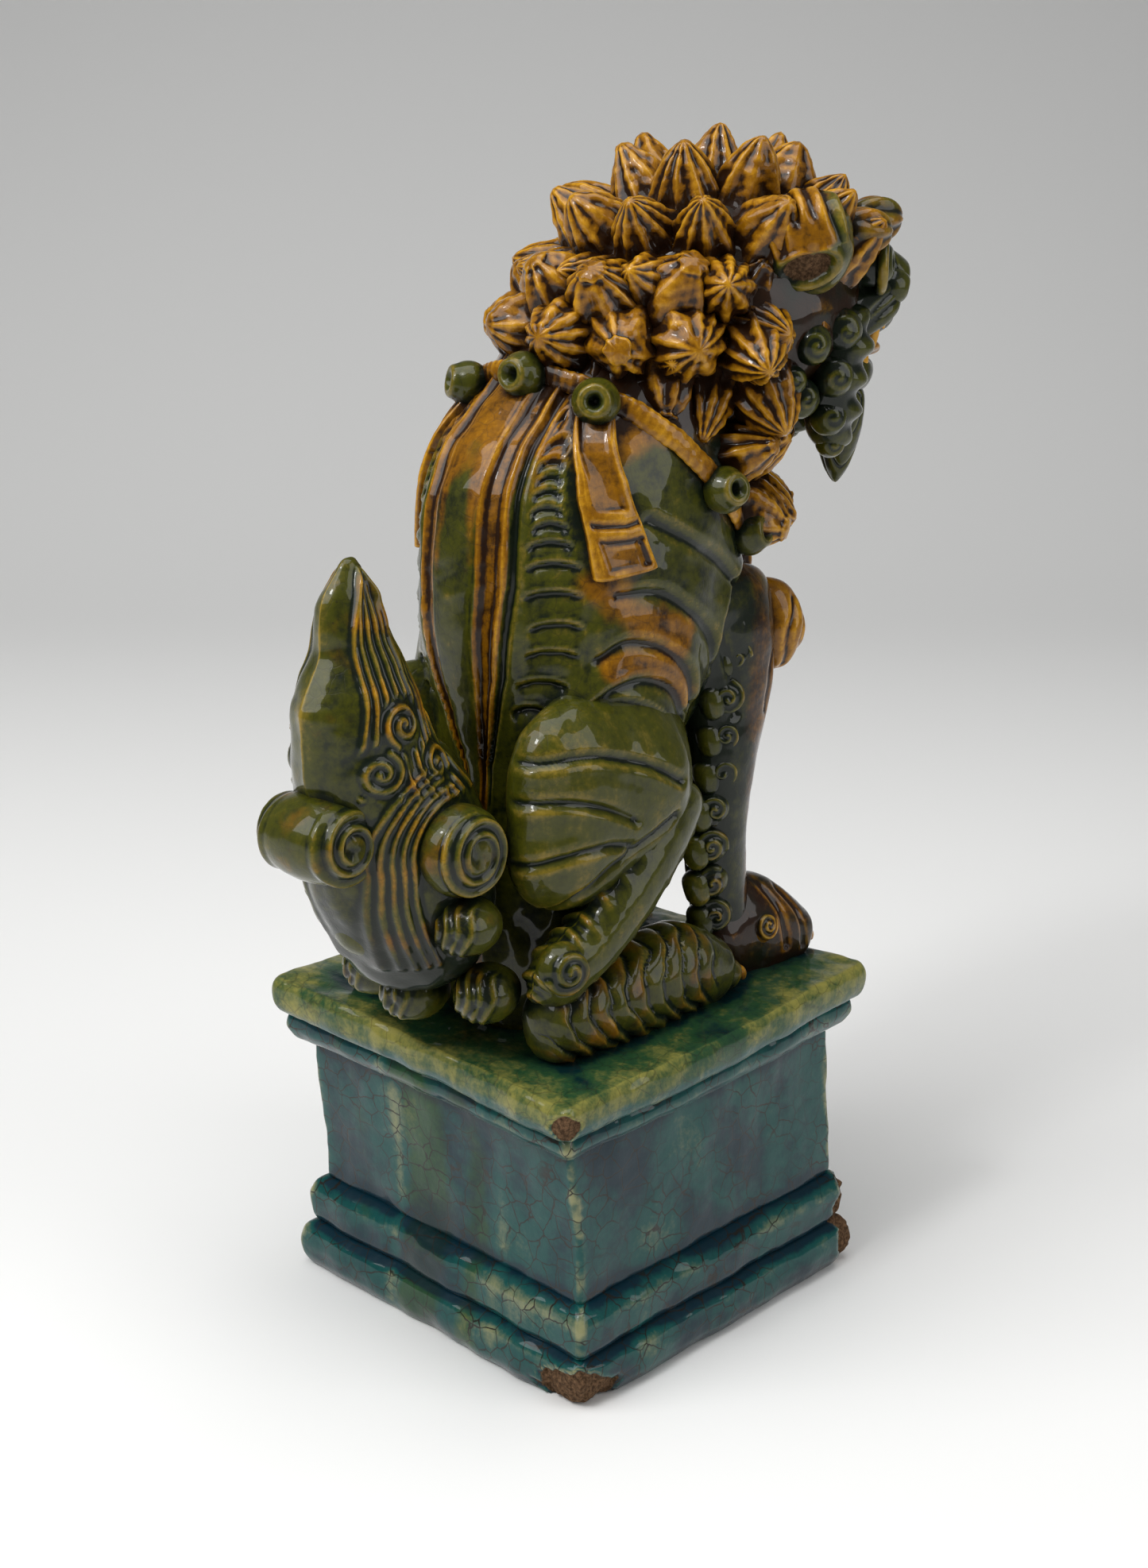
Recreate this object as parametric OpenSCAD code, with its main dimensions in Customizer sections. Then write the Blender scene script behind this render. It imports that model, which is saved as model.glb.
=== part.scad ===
// Seated guardian lion of glazed stoneware on a slab-built plinth.
// The lion faces -Y, +Z is up, and its right side is towards -X.
// The origin is the centre of the plinth's foot, on the surface that it stands on.

/* [Plinth] */
// Width of the top slab, across the lion
plinth_w = 134; // [110:1:190]
// Length of the top slab, along the lion
plinth_l = 136; // [115:1:190]
// Height of the plinth, foot to top slab
plinth_h = 100; // [75:1:150]
// Thickness of the top slab
slab_t = 11; // [8:0.5:16]
// Radius of the slab's upright corners
slab_corner_r = 7; // [3:0.5:12]
// Height of the moulding under the slab
cornice_h = 9; // [6:0.5:14]
// Height of the foot moulding
foot_h = 16; // [10:0.5:24]
// Height of the moulding above the foot
step_h = 15; // [10:0.5:20]
// Thickness of the plinth's clay walls
wall = 9; // [6:0.5:14]
// Diameter of the steam vent through the slab
vent_d = 16; // [8:1:24]

/* [Lion] */
// Height of the lion above the slab
lion_h = 258; // [210:1:320]
// Turn of the head to the lion's right, in degrees
head_turn = 35; // [0:1:50]
// Thickness of the torso's clay wall
shell = 8; // [6:0.5:12]
// Distance between the centres of the front legs
front_track = 66; // [54:1:80]
// Distance between the centres of the hind paws
hind_track = 74; // [60:1:90]

/* [Mane and collar] */
// Height of a mane curl
curl_h = 16; // [12:0.5:22]
// Radius of a mane curl at its root
curl_r = 10; // [8:0.5:13]
// Radius of a collar bell
bell_r = 7; // [5:0.5:9]
// Thickness of the collar band
collar_t = 3; // [2:0.5:5]

/* [Hidden] */

k = lion_h / 258;            // scale of the lion's own measures
slab_z = plinth_h - slab_t;
cornice_z = slab_z - cornice_h;
dado_z = foot_h + step_h;
cornice_in = 4;              // each moulding's edge, in from the edge of the slab
dado_in = 10;
step_in = 5;
foot_in = 3;
dado_w = plinth_w - 2 * dado_in;
dado_l = plinth_l - 2 * dado_in;
eps = 0.01;

slab_green = [0.13, 0.28, 0.16];
plinth_blue = [0.16, 0.36, 0.38];
olive = [0.29, 0.30, 0.10];
amber = [0.55, 0.34, 0.07];
moss = [0.16, 0.22, 0.12];
bone = [0.72, 0.64, 0.42];

// ---------------------------------------------------------------- helpers

// Places children in the lion's own measures, standing on the slab.
module on_slab() translate([0, 0, plinth_h]) scale(k) children();

// Places children in the head's own frame: its centre, turned to the lion's right.
head_c = [-14, -47, 206];
module in_head() translate(head_c) rotate([0, 0, -head_turn]) children();

// An egg with the half-sizes r, centred on c.
module egg(c, r, fn = 12) hull() translate(c) scale(r) sphere(1, $fn = fn);

// A smooth limb through a list of [centre, half-sizes].
module limb(eggs, fn = 12)
    for (i = [0 : len(eggs) - 2])
        hull() {
            egg(eggs[i][0], eggs[i][1], fn);
            egg(eggs[i + 1][0], eggs[i + 1][1], fn);
        }

// side is 1 for the lion's left, and -1 for its right.
module on_side(side) mirror([side < 0 ? 1 : 0, 0, 0]) children();

// Everything above the slab, which keeps a piece from reaching into it.
module above_slab() translate([-300, -300, 0]) cube([600, 600, 600]);

// A flame-tipped curl that stands on its root along +Z.
module curl(h = curl_h / k, r = curl_r / k)
    hull() {
        translate([0, 0, -r * 0.35]) cylinder(r = r * 0.86, h = r * 0.3, $fn = 8);
        translate([0, 0, r * 0.15]) cylinder(r = r, h = eps, $fn = 8);
        translate([0, 0, h * 0.55]) cylinder(r = r * 0.66, h = eps, $fn = 8);
        translate([0, 0, h * 0.92]) sphere(r * 0.16, $fn = 5);
    }

// Stands children on the egg (c, r) at azimuth a from its back and elevation e.
module stand_on(c, r, a, e) {
    n = [sin(a) * cos(e), cos(a) * cos(e), sin(e)];
    p = [c.x + r.x * n.x, c.y + r.y * n.y, c.z + r.z * n.z];
    g = [n.x / r.x, n.y / r.y, n.z / r.z];
    translate(p) rotate([0, acos(g.z / norm(g)), atan2(g.y, g.x)]) children();
}

// ---------------------------------------------------------------- plinth

// A bar that runs through the plinth along Y, as wide at each height as the profile says.
module bar(profile, w, l)
    rotate([90, 0, 0]) linear_extrude(l + 60, center = true)
        polygon(concat(
            [for (q = profile) [w / 2 + q[0], q[1]]],
            [for (i = [len(profile) - 1 : -1 : 0]) [-w / 2 - profile[i][0], profile[i][1]]]));

// A mitred moulding round a rectangle of w by l, hollow inside the plinth's walls.
// The profile lists [outwards, up] from its lower edge to its upper edge.
module moulding(profile, w, l)
    difference() {
        intersection() {
            bar(profile, w, l);
            rotate([0, 0, 90]) bar(profile, l, w);
        }
        cube([dado_w - 2 * wall, dado_l - 2 * wall, 3 * plinth_h], center = true);
    }

// A half-round roll of the given bulge.
function roll(z, h, bulge, steps = 6) =
    [for (i = [0 : steps]) [bulge * sin(180 * i / steps), z + h * i / steps]];

module plinth_top_slab() color(slab_green)
    difference() {
        hull()
            for (q = [[3.5, 0], [0.6, 0.2], [0, 0.5], [0.6, 0.8], [4, 1]])
                translate([0, 0, slab_z + slab_t * q[1] - (q[1] == 1 ? eps : 0)])
                    linear_extrude(eps)
                        offset(r = slab_corner_r - q[0] / 2, $fn = 32)
                            square([plinth_w - 2 * slab_corner_r - q[0],
                                plinth_l - 2 * slab_corner_r - q[0]], center = true);
        translate([0, 20 * k, slab_z - 1]) cylinder(d = vent_d, h = slab_t + 2, $fn = 48);
    }

module plinth_cornice() color(plinth_blue)
    moulding(roll(cornice_z, cornice_h, 2), plinth_w - 2 * cornice_in - 4, plinth_l - 2 * cornice_in - 4);

// side is 1 for the back wall and -1 for the front one.
module end_wall(side) color(plinth_blue)
    translate([-dado_w / 2, side > 0 ? dado_l / 2 - wall : -dado_l / 2, dado_z])
        cube([dado_w, wall, cornice_z - dado_z]);

module side_wall(side) color(plinth_blue)
    translate([side > 0 ? dado_w / 2 - wall : -dado_w / 2, -dado_l / 2 + wall, dado_z])
        cube([wall, dado_l - 2 * wall, cornice_z - dado_z]);

module plinth_step_moulding() color(plinth_blue)
    moulding([[0, foot_h], [0, foot_h + step_h * 0.55], [-1.5, foot_h + step_h * 0.8], [-4, dado_z]],
        plinth_w - 2 * step_in, plinth_l - 2 * step_in);

module plinth_foot_moulding() color(plinth_blue)
    moulding([[-1.5, 0], [0, foot_h * 0.2], [0, foot_h * 0.75], [-2, foot_h]],
        plinth_w - 2 * foot_in, plinth_l - 2 * foot_in);

// ---------------------------------------------------------------- torso

torso_eggs = [[[0, 24, 14], [26, 22, 18]], [[0, 14, 48], [34, 29, 26]],
    [[0, 5, 88], [39, 39, 26]], [[0, -2, 124], [42, 52, 26]], [[0, -7, 160], [40, 54, 24]],
    [[-2, -25, 186], [36, 44, 14]]];
neck_egg = [[-7, -34, 200], [36, 44, 22]];

module torso_form() {
    limb(torso_eggs, 20);
    egg(neck_egg[0], neck_egg[1], 20);
}

// The space inside the torso: the same eggs, smaller by the wall.
module torso_space() {
    s = shell / k;
    limb([for (e = torso_eggs) [e[0], [e[1].x - s, e[1].y - s, e[1].z - s]]]);
    translate([0, 20, -1]) cylinder(d = vent_d / k, h = 20, $fn = 24);
}

// side is 1 for the lion's left half, and -1 for its right half.
module torso_half(side) color(olive) on_slab()
    difference() {
        intersection() {
            torso_form();
            above_slab();
            translate([side > 0 ? 0 : -100, -100, -10]) cube([100, 200, 300]);
        }
        torso_space();
    }

// ---------------------------------------------------------------- legs

front_x = front_track / 2 / k;
hind_x = hind_track / 2 / k;

module front_leg_form() limb([[[front_x - 3, -31, 118], [12, 18, 18]],
    [[front_x - 1, -34, 90], [11, 14, 14]], [[front_x, -31, 56], [9.5, 10.5, 12]],
    [[front_x, -32, 24], [9, 10.5, 12]], [[front_x, -36, 14], [10, 11, 8]]]);

module front_leg(side) color(olive) on_slab() on_side(side)
    difference() {
        front_leg_form();
        torso_form();
        front_paw_form();
    }

// Four toes spread from the ball of the paw, each with its claw.
module toes(c, reach, spread, r)
    for (i = [-1.5 : 1 : 1.5])
        translate(c) rotate([0, 0, i * spread])
            hull() {
                egg([0, -reach * 0.5, r * 0.8], [r * 0.95, r * 1.3, r], 10);
                egg([0, -reach, r * 0.5], [r * 0.7, r * 0.8, r * 0.75], 8);
            }

module front_paw_form() intersection() {
    union() {
        hull() {
            egg([front_x, -40, 14], [12, 13, 16]);
            egg([front_x, -54, 7], [12, 10, 10]);
        }
        toes([front_x, -46, 0], 23, 14, 5.5);
    }
    above_slab();
}

module front_paw(side) color(amber) on_slab() on_side(side) front_paw_form();

// Fur curls down the back edge of a front leg.
module front_leg_fringe(side) color(moss) on_slab() on_side(side)
    difference() {
        for (i = [0 : 7])
            hull() {
                egg([front_x + 3, -20 - i, 22 + 11.5 * i], [5, 5, 5.5], 8);
                egg([front_x + 4, -15 - i, 19 + 11.5 * i], [4, 4, 3.5], 8);
            }
        front_leg_form();
        torso_form();
        hind_leg_form();
    }

thigh_eggs = [[[30, 38, 44], [15, 20, 28]], [[32, 28, 66], [16, 28, 32]],
    [[36, 12, 80], [13, 20, 22]], [[38, 5, 68], [10, 14, 18]]];
shank_eggs = [[[38, 5, 68], [10, 14, 18]], [[38, 14, 46], [10, 13, 12]],
    [[38, 36, 24], [10, 12, 11]], [[hind_x, 44, 13], [10, 10, 10]]];

module hind_leg_form() intersection() {
    union() {
        limb(thigh_eggs);
        limb(shank_eggs);
    }
    above_slab();
}

module hind_leg(side) color(olive) on_slab() on_side(side)
    difference() {
        hind_leg_form();
        torso_form();
        hind_paw_form();
    }

module hind_paw_form() intersection() {
    union() {
        limb([[[hind_x, 46, 9], [10, 10, 11]], [[hind_x, 18, 11], [11, 13, 14]],
            [[hind_x, -6, 12], [12, 13, 13]]]);
        toes([hind_x, -2, 0], 20, 14, 5.5);
    }
    above_slab();
}

module hind_paw(side) color(moss) on_slab() on_side(side)
    difference() {
        hind_paw_form();
        torso_form();
    }

// ---------------------------------------------------------------- tail

flame_eggs = [[[0, 58, 26], [20, 16, 12]], [[0, 66, 42], [24, 24, 14]],
    [[0, 72, 60], [24, 28, 16]], [[0, 80, 80], [21, 24, 16]], [[0, 86, 101], [15, 17, 16]],
    [[0, 88, 128], [7, 8, 10]], [[0, 86, 142], [2, 2.5, 4]]];

module flame_form() limb(flame_eggs);

module tail_flame() color(moss) on_slab()
    difference() {
        flame_form();
        torso_form();
        for (side = [-1, 1]) on_side(side) hind_leg_form();
    }

// [centre, radius, half-length] of the rolled ends of the tail, each rolled about X.
scrolls = [[[0, 100, 71], 13, 14], [[-25, 73, 67], 13, 6], [[25, 73, 67], 13, 6]];

module scroll_form(s) translate(s[0]) rotate([0, 90, 0])
    hull() for (edge = [[0.6, 1], [1, 0.4]])
        cylinder(r = s[1] * edge[0], h = 2 * s[2] * edge[1], center = true, $fn = 16);

module tail_scrolls() color(moss) on_slab()
    difference() {
        union() {
            for (s = scrolls) scroll_form(s);
            egg([0, 85, 42], [10, 9, 9]);
        }
        flame_form();
        torso_form();
        for (side = [-1, 1]) on_side(side) hind_leg_form();
    }

// Places of the buds round the root of the tail.
buds = [[0, 64, 17], [-19, 62, 18], [19, 62, 18], [-27, 72, 40], [27, 72, 40]];
bud_r = 9;

module tail_root_buds() color(moss) on_slab()
    difference() {
        for (b = buds) egg(b, [bud_r, bud_r * 1.2, bud_r]);
        flame_form();
        torso_form();
        scroll_form(scrolls[1]);
        scroll_form(scrolls[2]);
        for (side = [-1, 1]) on_side(side) {
            hind_leg_form();
            hind_paw_form();
        }
    }

// ---------------------------------------------------------------- head

skull_r = [41, 45, 36];

module head_form() {
    in_head() {
        egg([0, 0, 0], skull_r, 18);
        hull() {
            egg([0, -34, 4], [21, 14, 13]);
            egg([0, -50, 3], [15, 11, 9]);
        }
        hull() {
            egg([0, -32, -10], [21, 12, 14]);
            egg([0, -37, -14], [15, 7, 8]);
        }
    }
}

module head() color(moss) on_slab()
    difference() {
        head_form();
        torso_form();
        in_head() egg([0, 1, -1], skull_r - [shell, shell, shell] / k);
        translate([head_c.x, head_c.y + 8, head_c.z - 32]) cylinder(r = 12, h = 30, $fn = 16);
    }

module jaw_form() in_head() hull() {
    egg([0, -34, -24], [15, 10, 6]);
    egg([0, -46, -20], [11, 8, 5]);
}

module lower_jaw() color(moss) on_slab()
    difference() {
        jaw_form();
        head_form();
        torso_form();
        for (side = [-1, 1]) in_head() egg([side * 30, -30, -30], [4, 4, 4], 8);
    }

module tongue_form() in_head() hull() {
    egg([0, -38, -15], [8, 7, 3], 10);
    egg([0, -51, -13], [6, 5, 2.2], 10);
}

module tongue() color(amber) on_slab()
    difference() {
        tongue_form();
        head_form();
        jaw_form();
    }

// One tooth: a cone from its root to a rounded tip, along +Z.
module tooth(r, h) hull() {
    cylinder(r = r, h = h * 0.4, $fn = 8);
    translate([0, 0, h]) sphere(r * 0.3, $fn = 6);
}

module teeth() color(bone) on_slab()
    difference() {
        in_head() for (side = [-1, 1]) {
            translate([side * 10, -51, -2]) rotate([180, 0, 0]) tooth(2.6, 11);
            translate([side * 8, -47, -18]) tooth(2.2, 7);
            for (x = [2.2, 5.6])
                translate([side * x, -56 + x * 0.35, -3]) rotate([180, 0, 0]) tooth(1.6, 5);
        }
        head_form();
        jaw_form();
        tongue_form();
    }

module nose_form() in_head() {
    hull() {
        egg([0, -58, 7], [9, 7, 6]);
        egg([0, -48, 13], [6, 9, 4]);
    }
    for (side = [-1, 1]) egg([side * 9, -55, 5], [5, 6, 5], 10);
}

module nose() color(moss) on_slab()
    difference() {
        nose_form();
        head_form();
        in_head() for (side = [-1, 1]) egg([side * 8, -61, 4], [2, 3, 2], 8);
        eyes_form();
    }

module eyes_form() in_head() for (side = [-1, 1]) egg([side * 17, -43, 12], [7, 8, 7]);

module eyes() color(bone) on_slab()
    difference() {
        eyes_form();
        head_form();
        in_head() for (side = [-1, 1]) egg([side * 20, -51, 13], [2.2, 3, 2.2], 8);
    }

// The brow curls stand over the eyes in three lobes a side.
brow_places = [[7, -45, 22], [18, -43, 24], [28, -35, 20]];

module brows_form() in_head() for (side = [-1, 1])
    for (i = [0 : 1])
        hull() for (j = [i, i + 1])
            egg([side * brow_places[j].x, brow_places[j].y, brow_places[j].z], [5, 7, 5.5], 10);

module brows() color(amber) on_slab()
    difference() {
        brows_form();
        head_form();
        eyes_form();
        nose_form();
    }

// The ear stands out from the side of the head and ends in a flat face.
module ear_form(side) in_head() on_side(side)
    translate([33, -20, 14]) rotate([0, 78, -18])
        hull() {
            egg([0, 0, -4], [10, 12, 7]);
            egg([4, 2, 6], [9, 12, 6]);
            translate([9, 3, 10]) cylinder(r = 6, h = 2, $fn = 12);
        }

module ear(side) color(amber) on_slab()
    difference() {
        ear_form(side);
        head_form();
        torso_form();
        brows_form();
        eyes_form();
        nose_form();
        jaw_form();
    }

// Curls of the beard along each cheek: [out to the side, forwards, up, size].
cheek_places = [[28, -32, -6, 8], [28, -30, -20, 7.5], [24, -30, -33, 7]];

module cheek_form() in_head() for (side = [-1, 1]) for (p = cheek_places)
    egg([side * p[0], p[1], p[2]], [p[3] * 0.8, p[3] * 0.9, p[3]], 10);

module cheek_curls() color(moss) on_slab()
    difference() {
        cheek_form();
        head_form();
        jaw_form();
        torso_form();
        ear_form(-1);
        ear_form(1);
    }

module beard_form() in_head()
    limb([[[0, -47, -28], [10, 7, 6]], [[0, -47, -40], [8, 6, 6]], [[0, -47, -52], [1.5, 1.5, 2]]], 10);

module beard() color(moss) on_slab()
    difference() {
        beard_form();
        jaw_form();
        head_form();
        torso_form();
        cheek_form();
        in_head() for (side = [-1, 1]) egg([side * 30, -47, -40], [4, 4, 4], 8);
    }

// ---------------------------------------------------------------- mane

// Rows over the skull: [elevation, curls, half the sweep from the back].
crown_rows = [[90, 1, 0], [63, 7, 154], [37, 10, 128], [12, 9, 104]];
// Rows round the neck, above the collar.
neck_rows = [[30, 6, 84], [0, 8, 96]];
// Rows on the shoulders and breast, on each side: [elevation, curls, first azimuth, last azimuth].
breast_rows = [[12, 4, 112, 166], [-16, 4, 122, 168], [-42, 2, 142, 166]];

// A row is listed for curls of this radius, and finer curls take more places.
listed_curl_r = 10;
function places(count) = count == 1 ? 1 : max(2, round(count * k * listed_curl_r / curl_r));

module row_of_curls(c, r, row) {
    n = places(row[1]);
    for (i = [0 : n - 1])
        stand_on(c, r, n == 1 ? 0 : -row[2] + 2 * row[2] * i / (n - 1), row[0]) curl();
}

module face_space() {
    ear_form(-1);
    ear_form(1);
    eyes_form();
    brows_form();
    cheek_form();
    jaw_form();
}

module crown_form() in_head() for (row = crown_rows) row_of_curls([0, 0, 0], skull_r, row);

module mane_curls_crown() color(amber) on_slab()
    difference() {
        crown_form();
        head_form();
        torso_form();
        face_space();
    }

module neck_form() for (row = neck_rows) row_of_curls(neck_egg[0], neck_egg[1], row);

module mane_curls_neck() color(amber) on_slab()
    difference() {
        neck_form();
        head_form();
        torso_form();
        face_space();
        crown_form();
    }

breast_egg = [[0, -20, 156], [38, 46, 40]];

module breast_form()
    for (row = breast_rows) for (side = [-1, 1]) for (i = [0 : places(row[1]) - 1])
        stand_on(breast_egg[0], breast_egg[1],
            side * (row[2] + (row[3] - row[2]) / (places(row[1]) - 1) * i), row[0]) curl();

module mane_curls_breast() color(amber) on_slab()
    difference() {
        breast_form();
        torso_form();
        head_form();
        face_space();
        beard_form();
        neck_form();
        front_leg_forms();
    }

module front_leg_forms() for (side = [-1, 1]) on_side(side) front_leg_form();

// ---------------------------------------------------------------- collar

collar_c = [0, -28, 163];
collar_tilt = 32;
collar_r = [42, 57];

// Places children in the collar's plane, which falls towards the breast.
module in_collar() translate(collar_c) rotate([collar_tilt, 0, 0]) children();

module collar_ring_form() intersection() {
    limb([for (e = torso_eggs) [e[0], e[1] + [1, 1, 1] * collar_t / k]], 20);
    in_collar() cube([200, 200, 6], center = true);
}

module collar_band() color(amber) on_slab()
    difference() {
        collar_ring_form();
        torso_form();
        torso_space();
        head_form();
        neck_form();
        breast_form();
        crown_form();
        cheek_form();
        beard_form();
        bells_form();
    }

// Where the bells hang, in degrees round the collar from the lion's left.
bell_angles = [93, 56, 124, -5, 185, -45, 225, -90];

module bells_form() in_collar() for (a = bell_angles)
    translate([cos(a) * collar_r[0], sin(a) * collar_r[1], -2]) egg([0, 0, 0], [1, 1, 1] * bell_r / k, 10);

module collar_bells() color(moss) on_slab()
    difference() {
        bells_form();
        torso_form();
        head_form();
        neck_form();
        breast_form();
        front_leg_forms();
    }

// A teardrop tassel hangs from the collar in front of each shoulder.
module tassels_form() for (side = [-1, 1]) on_side(side)
    limb([[[30, -52, 122], [4, 5, 5]], [[32, -56, 108], [9, 9, 10]], [[32, -55, 95], [2, 2, 2]]], 10);

module collar_tassels() color(amber) on_slab()
    difference() {
        tassels_form();
        torso_form();
        bells_form();
        breast_form();
        collar_ring_form();
        front_leg_forms();
    }

// ---------------------------------------------------------------- ribbons

// The end of the collar's bow, laid flat down the back beside the spine.
module ribbon_form() limb([[[22, 20, 178], [5, 8, 6]], [[34, 25, 160], [5, 8, 7]],
    [[39, 25, 142], [5, 10, 4]]], 10);

module ribbon(side) color(amber) on_slab() on_side(side)
    difference() {
        ribbon_form();
        torso_form();
        on_side(side) {
            bells_form();
            collar_ring_form();
            neck_form();
        }
        for (z = [110, 112, 114]) egg([70, 40, z], [2, 2, 2], 6);
    }

plinth_top_slab();
plinth_cornice();
end_wall(-1);  // plinth_wall_front
end_wall(1);  // plinth_wall_back
side_wall(1);  // plinth_wall_left
side_wall(-1);  // plinth_wall_right
plinth_step_moulding();
plinth_foot_moulding();
torso_half(1);  // torso_half_left
torso_half(-1);  // torso_half_right
front_leg(1);  // front_leg_left
front_leg(-1);  // front_leg_right
front_paw(1);  // front_paw_left
front_paw(-1);  // front_paw_right
front_leg_fringe(1);  // front_leg_fringe_left
front_leg_fringe(-1);  // front_leg_fringe_right
hind_leg(1);  // hind_leg_left
hind_leg(-1);  // hind_leg_right
hind_paw(1);  // hind_paw_left
hind_paw(-1);  // hind_paw_right
tail_flame();
tail_scrolls();
tail_root_buds();
head();
lower_jaw();
tongue();
teeth();
nose();
eyes();
brows();
ear(1);  // ear_left
ear(-1);  // ear_right
cheek_curls();
beard();
mane_curls_crown();
mane_curls_neck();
mane_curls_breast();
collar_band();
collar_bells();
collar_tassels();
ribbon(1);  // ribbon_left
ribbon(-1);  // ribbon_right
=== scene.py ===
import math

import bpy
import numpy as np
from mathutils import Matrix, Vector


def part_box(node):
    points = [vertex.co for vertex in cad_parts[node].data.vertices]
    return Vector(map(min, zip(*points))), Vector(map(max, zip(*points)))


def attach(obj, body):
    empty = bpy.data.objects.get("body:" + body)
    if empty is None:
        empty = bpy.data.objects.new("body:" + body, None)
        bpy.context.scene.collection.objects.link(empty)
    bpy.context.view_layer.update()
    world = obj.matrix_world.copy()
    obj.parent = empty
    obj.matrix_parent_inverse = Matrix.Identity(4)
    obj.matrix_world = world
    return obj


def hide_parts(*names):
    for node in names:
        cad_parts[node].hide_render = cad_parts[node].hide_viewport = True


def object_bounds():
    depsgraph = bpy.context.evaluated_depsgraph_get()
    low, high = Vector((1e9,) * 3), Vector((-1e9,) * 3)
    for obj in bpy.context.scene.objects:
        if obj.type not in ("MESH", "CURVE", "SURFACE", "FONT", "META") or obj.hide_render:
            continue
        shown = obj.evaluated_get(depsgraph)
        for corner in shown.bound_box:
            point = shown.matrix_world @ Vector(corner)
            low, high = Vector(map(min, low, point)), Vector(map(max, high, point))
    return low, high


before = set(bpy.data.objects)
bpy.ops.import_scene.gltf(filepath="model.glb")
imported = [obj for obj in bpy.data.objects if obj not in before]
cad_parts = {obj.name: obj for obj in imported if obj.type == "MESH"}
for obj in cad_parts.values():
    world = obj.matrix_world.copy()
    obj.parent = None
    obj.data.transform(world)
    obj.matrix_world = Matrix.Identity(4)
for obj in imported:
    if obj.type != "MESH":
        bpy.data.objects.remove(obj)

bl_info = {
    "name": "Guardian lion statue",
    "version": (1, 0, 0),
    "blender": (4, 5, 0),
    "location": "View3D > Sidebar > Lion",
    "description": "Models a glazed guardian lion on its plinth, piece by piece",
    "category": "Add Mesh",
}

CAD_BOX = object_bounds()
MM = 0.001
BODY = "root"
# The lion's own measures are millimetres above the slab, for a lion that stands LION_TALL.
LION_TALL = 258.0
SLAB_LOW, SLAB_HIGH = (np.array(corner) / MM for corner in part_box("plinth_top_slab"))
LION_SCALE = (CAD_BOX[1][2] / MM - SLAB_HIGH[2]) / LION_TALL
TAU = 2 * math.pi


# ------------------------------------------------------------------ settings

class StatueGlazes(bpy.types.PropertyGroup):
    """Colours of the fired glazes, each thin over a ridge, at its usual depth, and pooled. The pooled colour
    also carries painted shade in crevices between pieces and on the skull.
    """

    green_thin: bpy.props.FloatVectorProperty(
        name="Green, thin", description="Green glaze where it has run off a ridge",
        subtype="COLOR", size=3, min=0, max=1, default=(0.24, 0.165, 0.020))
    green_body: bpy.props.FloatVectorProperty(
        name="Green", description="Green glaze at its usual depth",
        subtype="COLOR", size=3, min=0, max=1, default=(0.050, 0.052, 0.003))
    green_deep: bpy.props.FloatVectorProperty(
        name="Green, pooled", description="Green glaze where it has pooled",
        subtype="COLOR", size=3, min=0, max=1, default=(0.005, 0.009, 0.004))
    amber_thin: bpy.props.FloatVectorProperty(
        name="Amber, thin", description="Amber glaze where it has run off a ridge",
        subtype="COLOR", size=3, min=0, max=1, default=(0.54, 0.265, 0.012))
    amber_body: bpy.props.FloatVectorProperty(
        name="Amber", description="Amber glaze at its usual depth",
        subtype="COLOR", size=3, min=0, max=1, default=(0.22, 0.088, 0.001))
    amber_deep: bpy.props.FloatVectorProperty(
        name="Amber, pooled", description="Amber glaze where it has pooled",
        subtype="COLOR", size=3, min=0, max=1, default=(0.018, 0.006, 0.001))
    blue_thin: bpy.props.FloatVectorProperty(
        name="Blue, thin", description="Blue-green glaze where it has run off an edge",
        subtype="COLOR", size=3, min=0, max=1, default=(0.24, 0.24, 0.12))
    blue_body: bpy.props.FloatVectorProperty(
        name="Blue", description="Blue-green glaze at its usual depth",
        subtype="COLOR", size=3, min=0, max=1, default=(0.003, 0.064, 0.058))
    blue_deep: bpy.props.FloatVectorProperty(
        name="Blue, pooled", description="Blue-green glaze where it has pooled",
        subtype="COLOR", size=3, min=0, max=1, default=(0.001, 0.018, 0.030))
    jade_thin: bpy.props.FloatVectorProperty(
        name="Jade, thin", description="Jade glaze where it has run off an edge",
        subtype="COLOR", size=3, min=0, max=1, default=(0.24, 0.22, 0.05))
    jade_body: bpy.props.FloatVectorProperty(
        name="Jade", description="Jade glaze at its usual depth",
        subtype="COLOR", size=3, min=0, max=1, default=(0.018, 0.060, 0.022))
    jade_deep: bpy.props.FloatVectorProperty(
        name="Jade, pooled", description="Jade glaze where it has pooled",
        subtype="COLOR", size=3, min=0, max=1, default=(0.002, 0.017, 0.019))
    clay: bpy.props.FloatVectorProperty(
        name="Bare clay", description="Fired clay where the glaze has chipped away",
        subtype="COLOR", size=3, min=0, max=1, default=(0.105, 0.060, 0.032))


class StatueCarving(bpy.types.PropertyGroup):
    """Sizes of the potter's marks."""

    curl_height: bpy.props.FloatProperty(
        name="Mane curl height", description="From the root of a mane curl to its tip",
        unit="LENGTH", default=0.016, min=0.008, max=0.03)
    curl_radius: bpy.props.FloatProperty(
        name="Mane curl radius", description="Radius of a mane curl at its root",
        unit="LENGTH", default=0.0120, min=0.005, max=0.016)
    curl_ribs: bpy.props.IntProperty(
        name="Mane curl ribs", description="Ribs pressed round each mane curl", default=9, min=5, max=16)
    bell_radius: bpy.props.FloatProperty(
        name="Bell radius", description="Radius of a collar bell", unit="LENGTH", default=0.0068, min=0.004,
        max=0.01)
    groove_depth: bpy.props.FloatProperty(
        name="Groove depth", description="Depth of the grooves cut in the body", unit="LENGTH",
        default=0.0015, min=0.0003, max=0.003)


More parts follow.
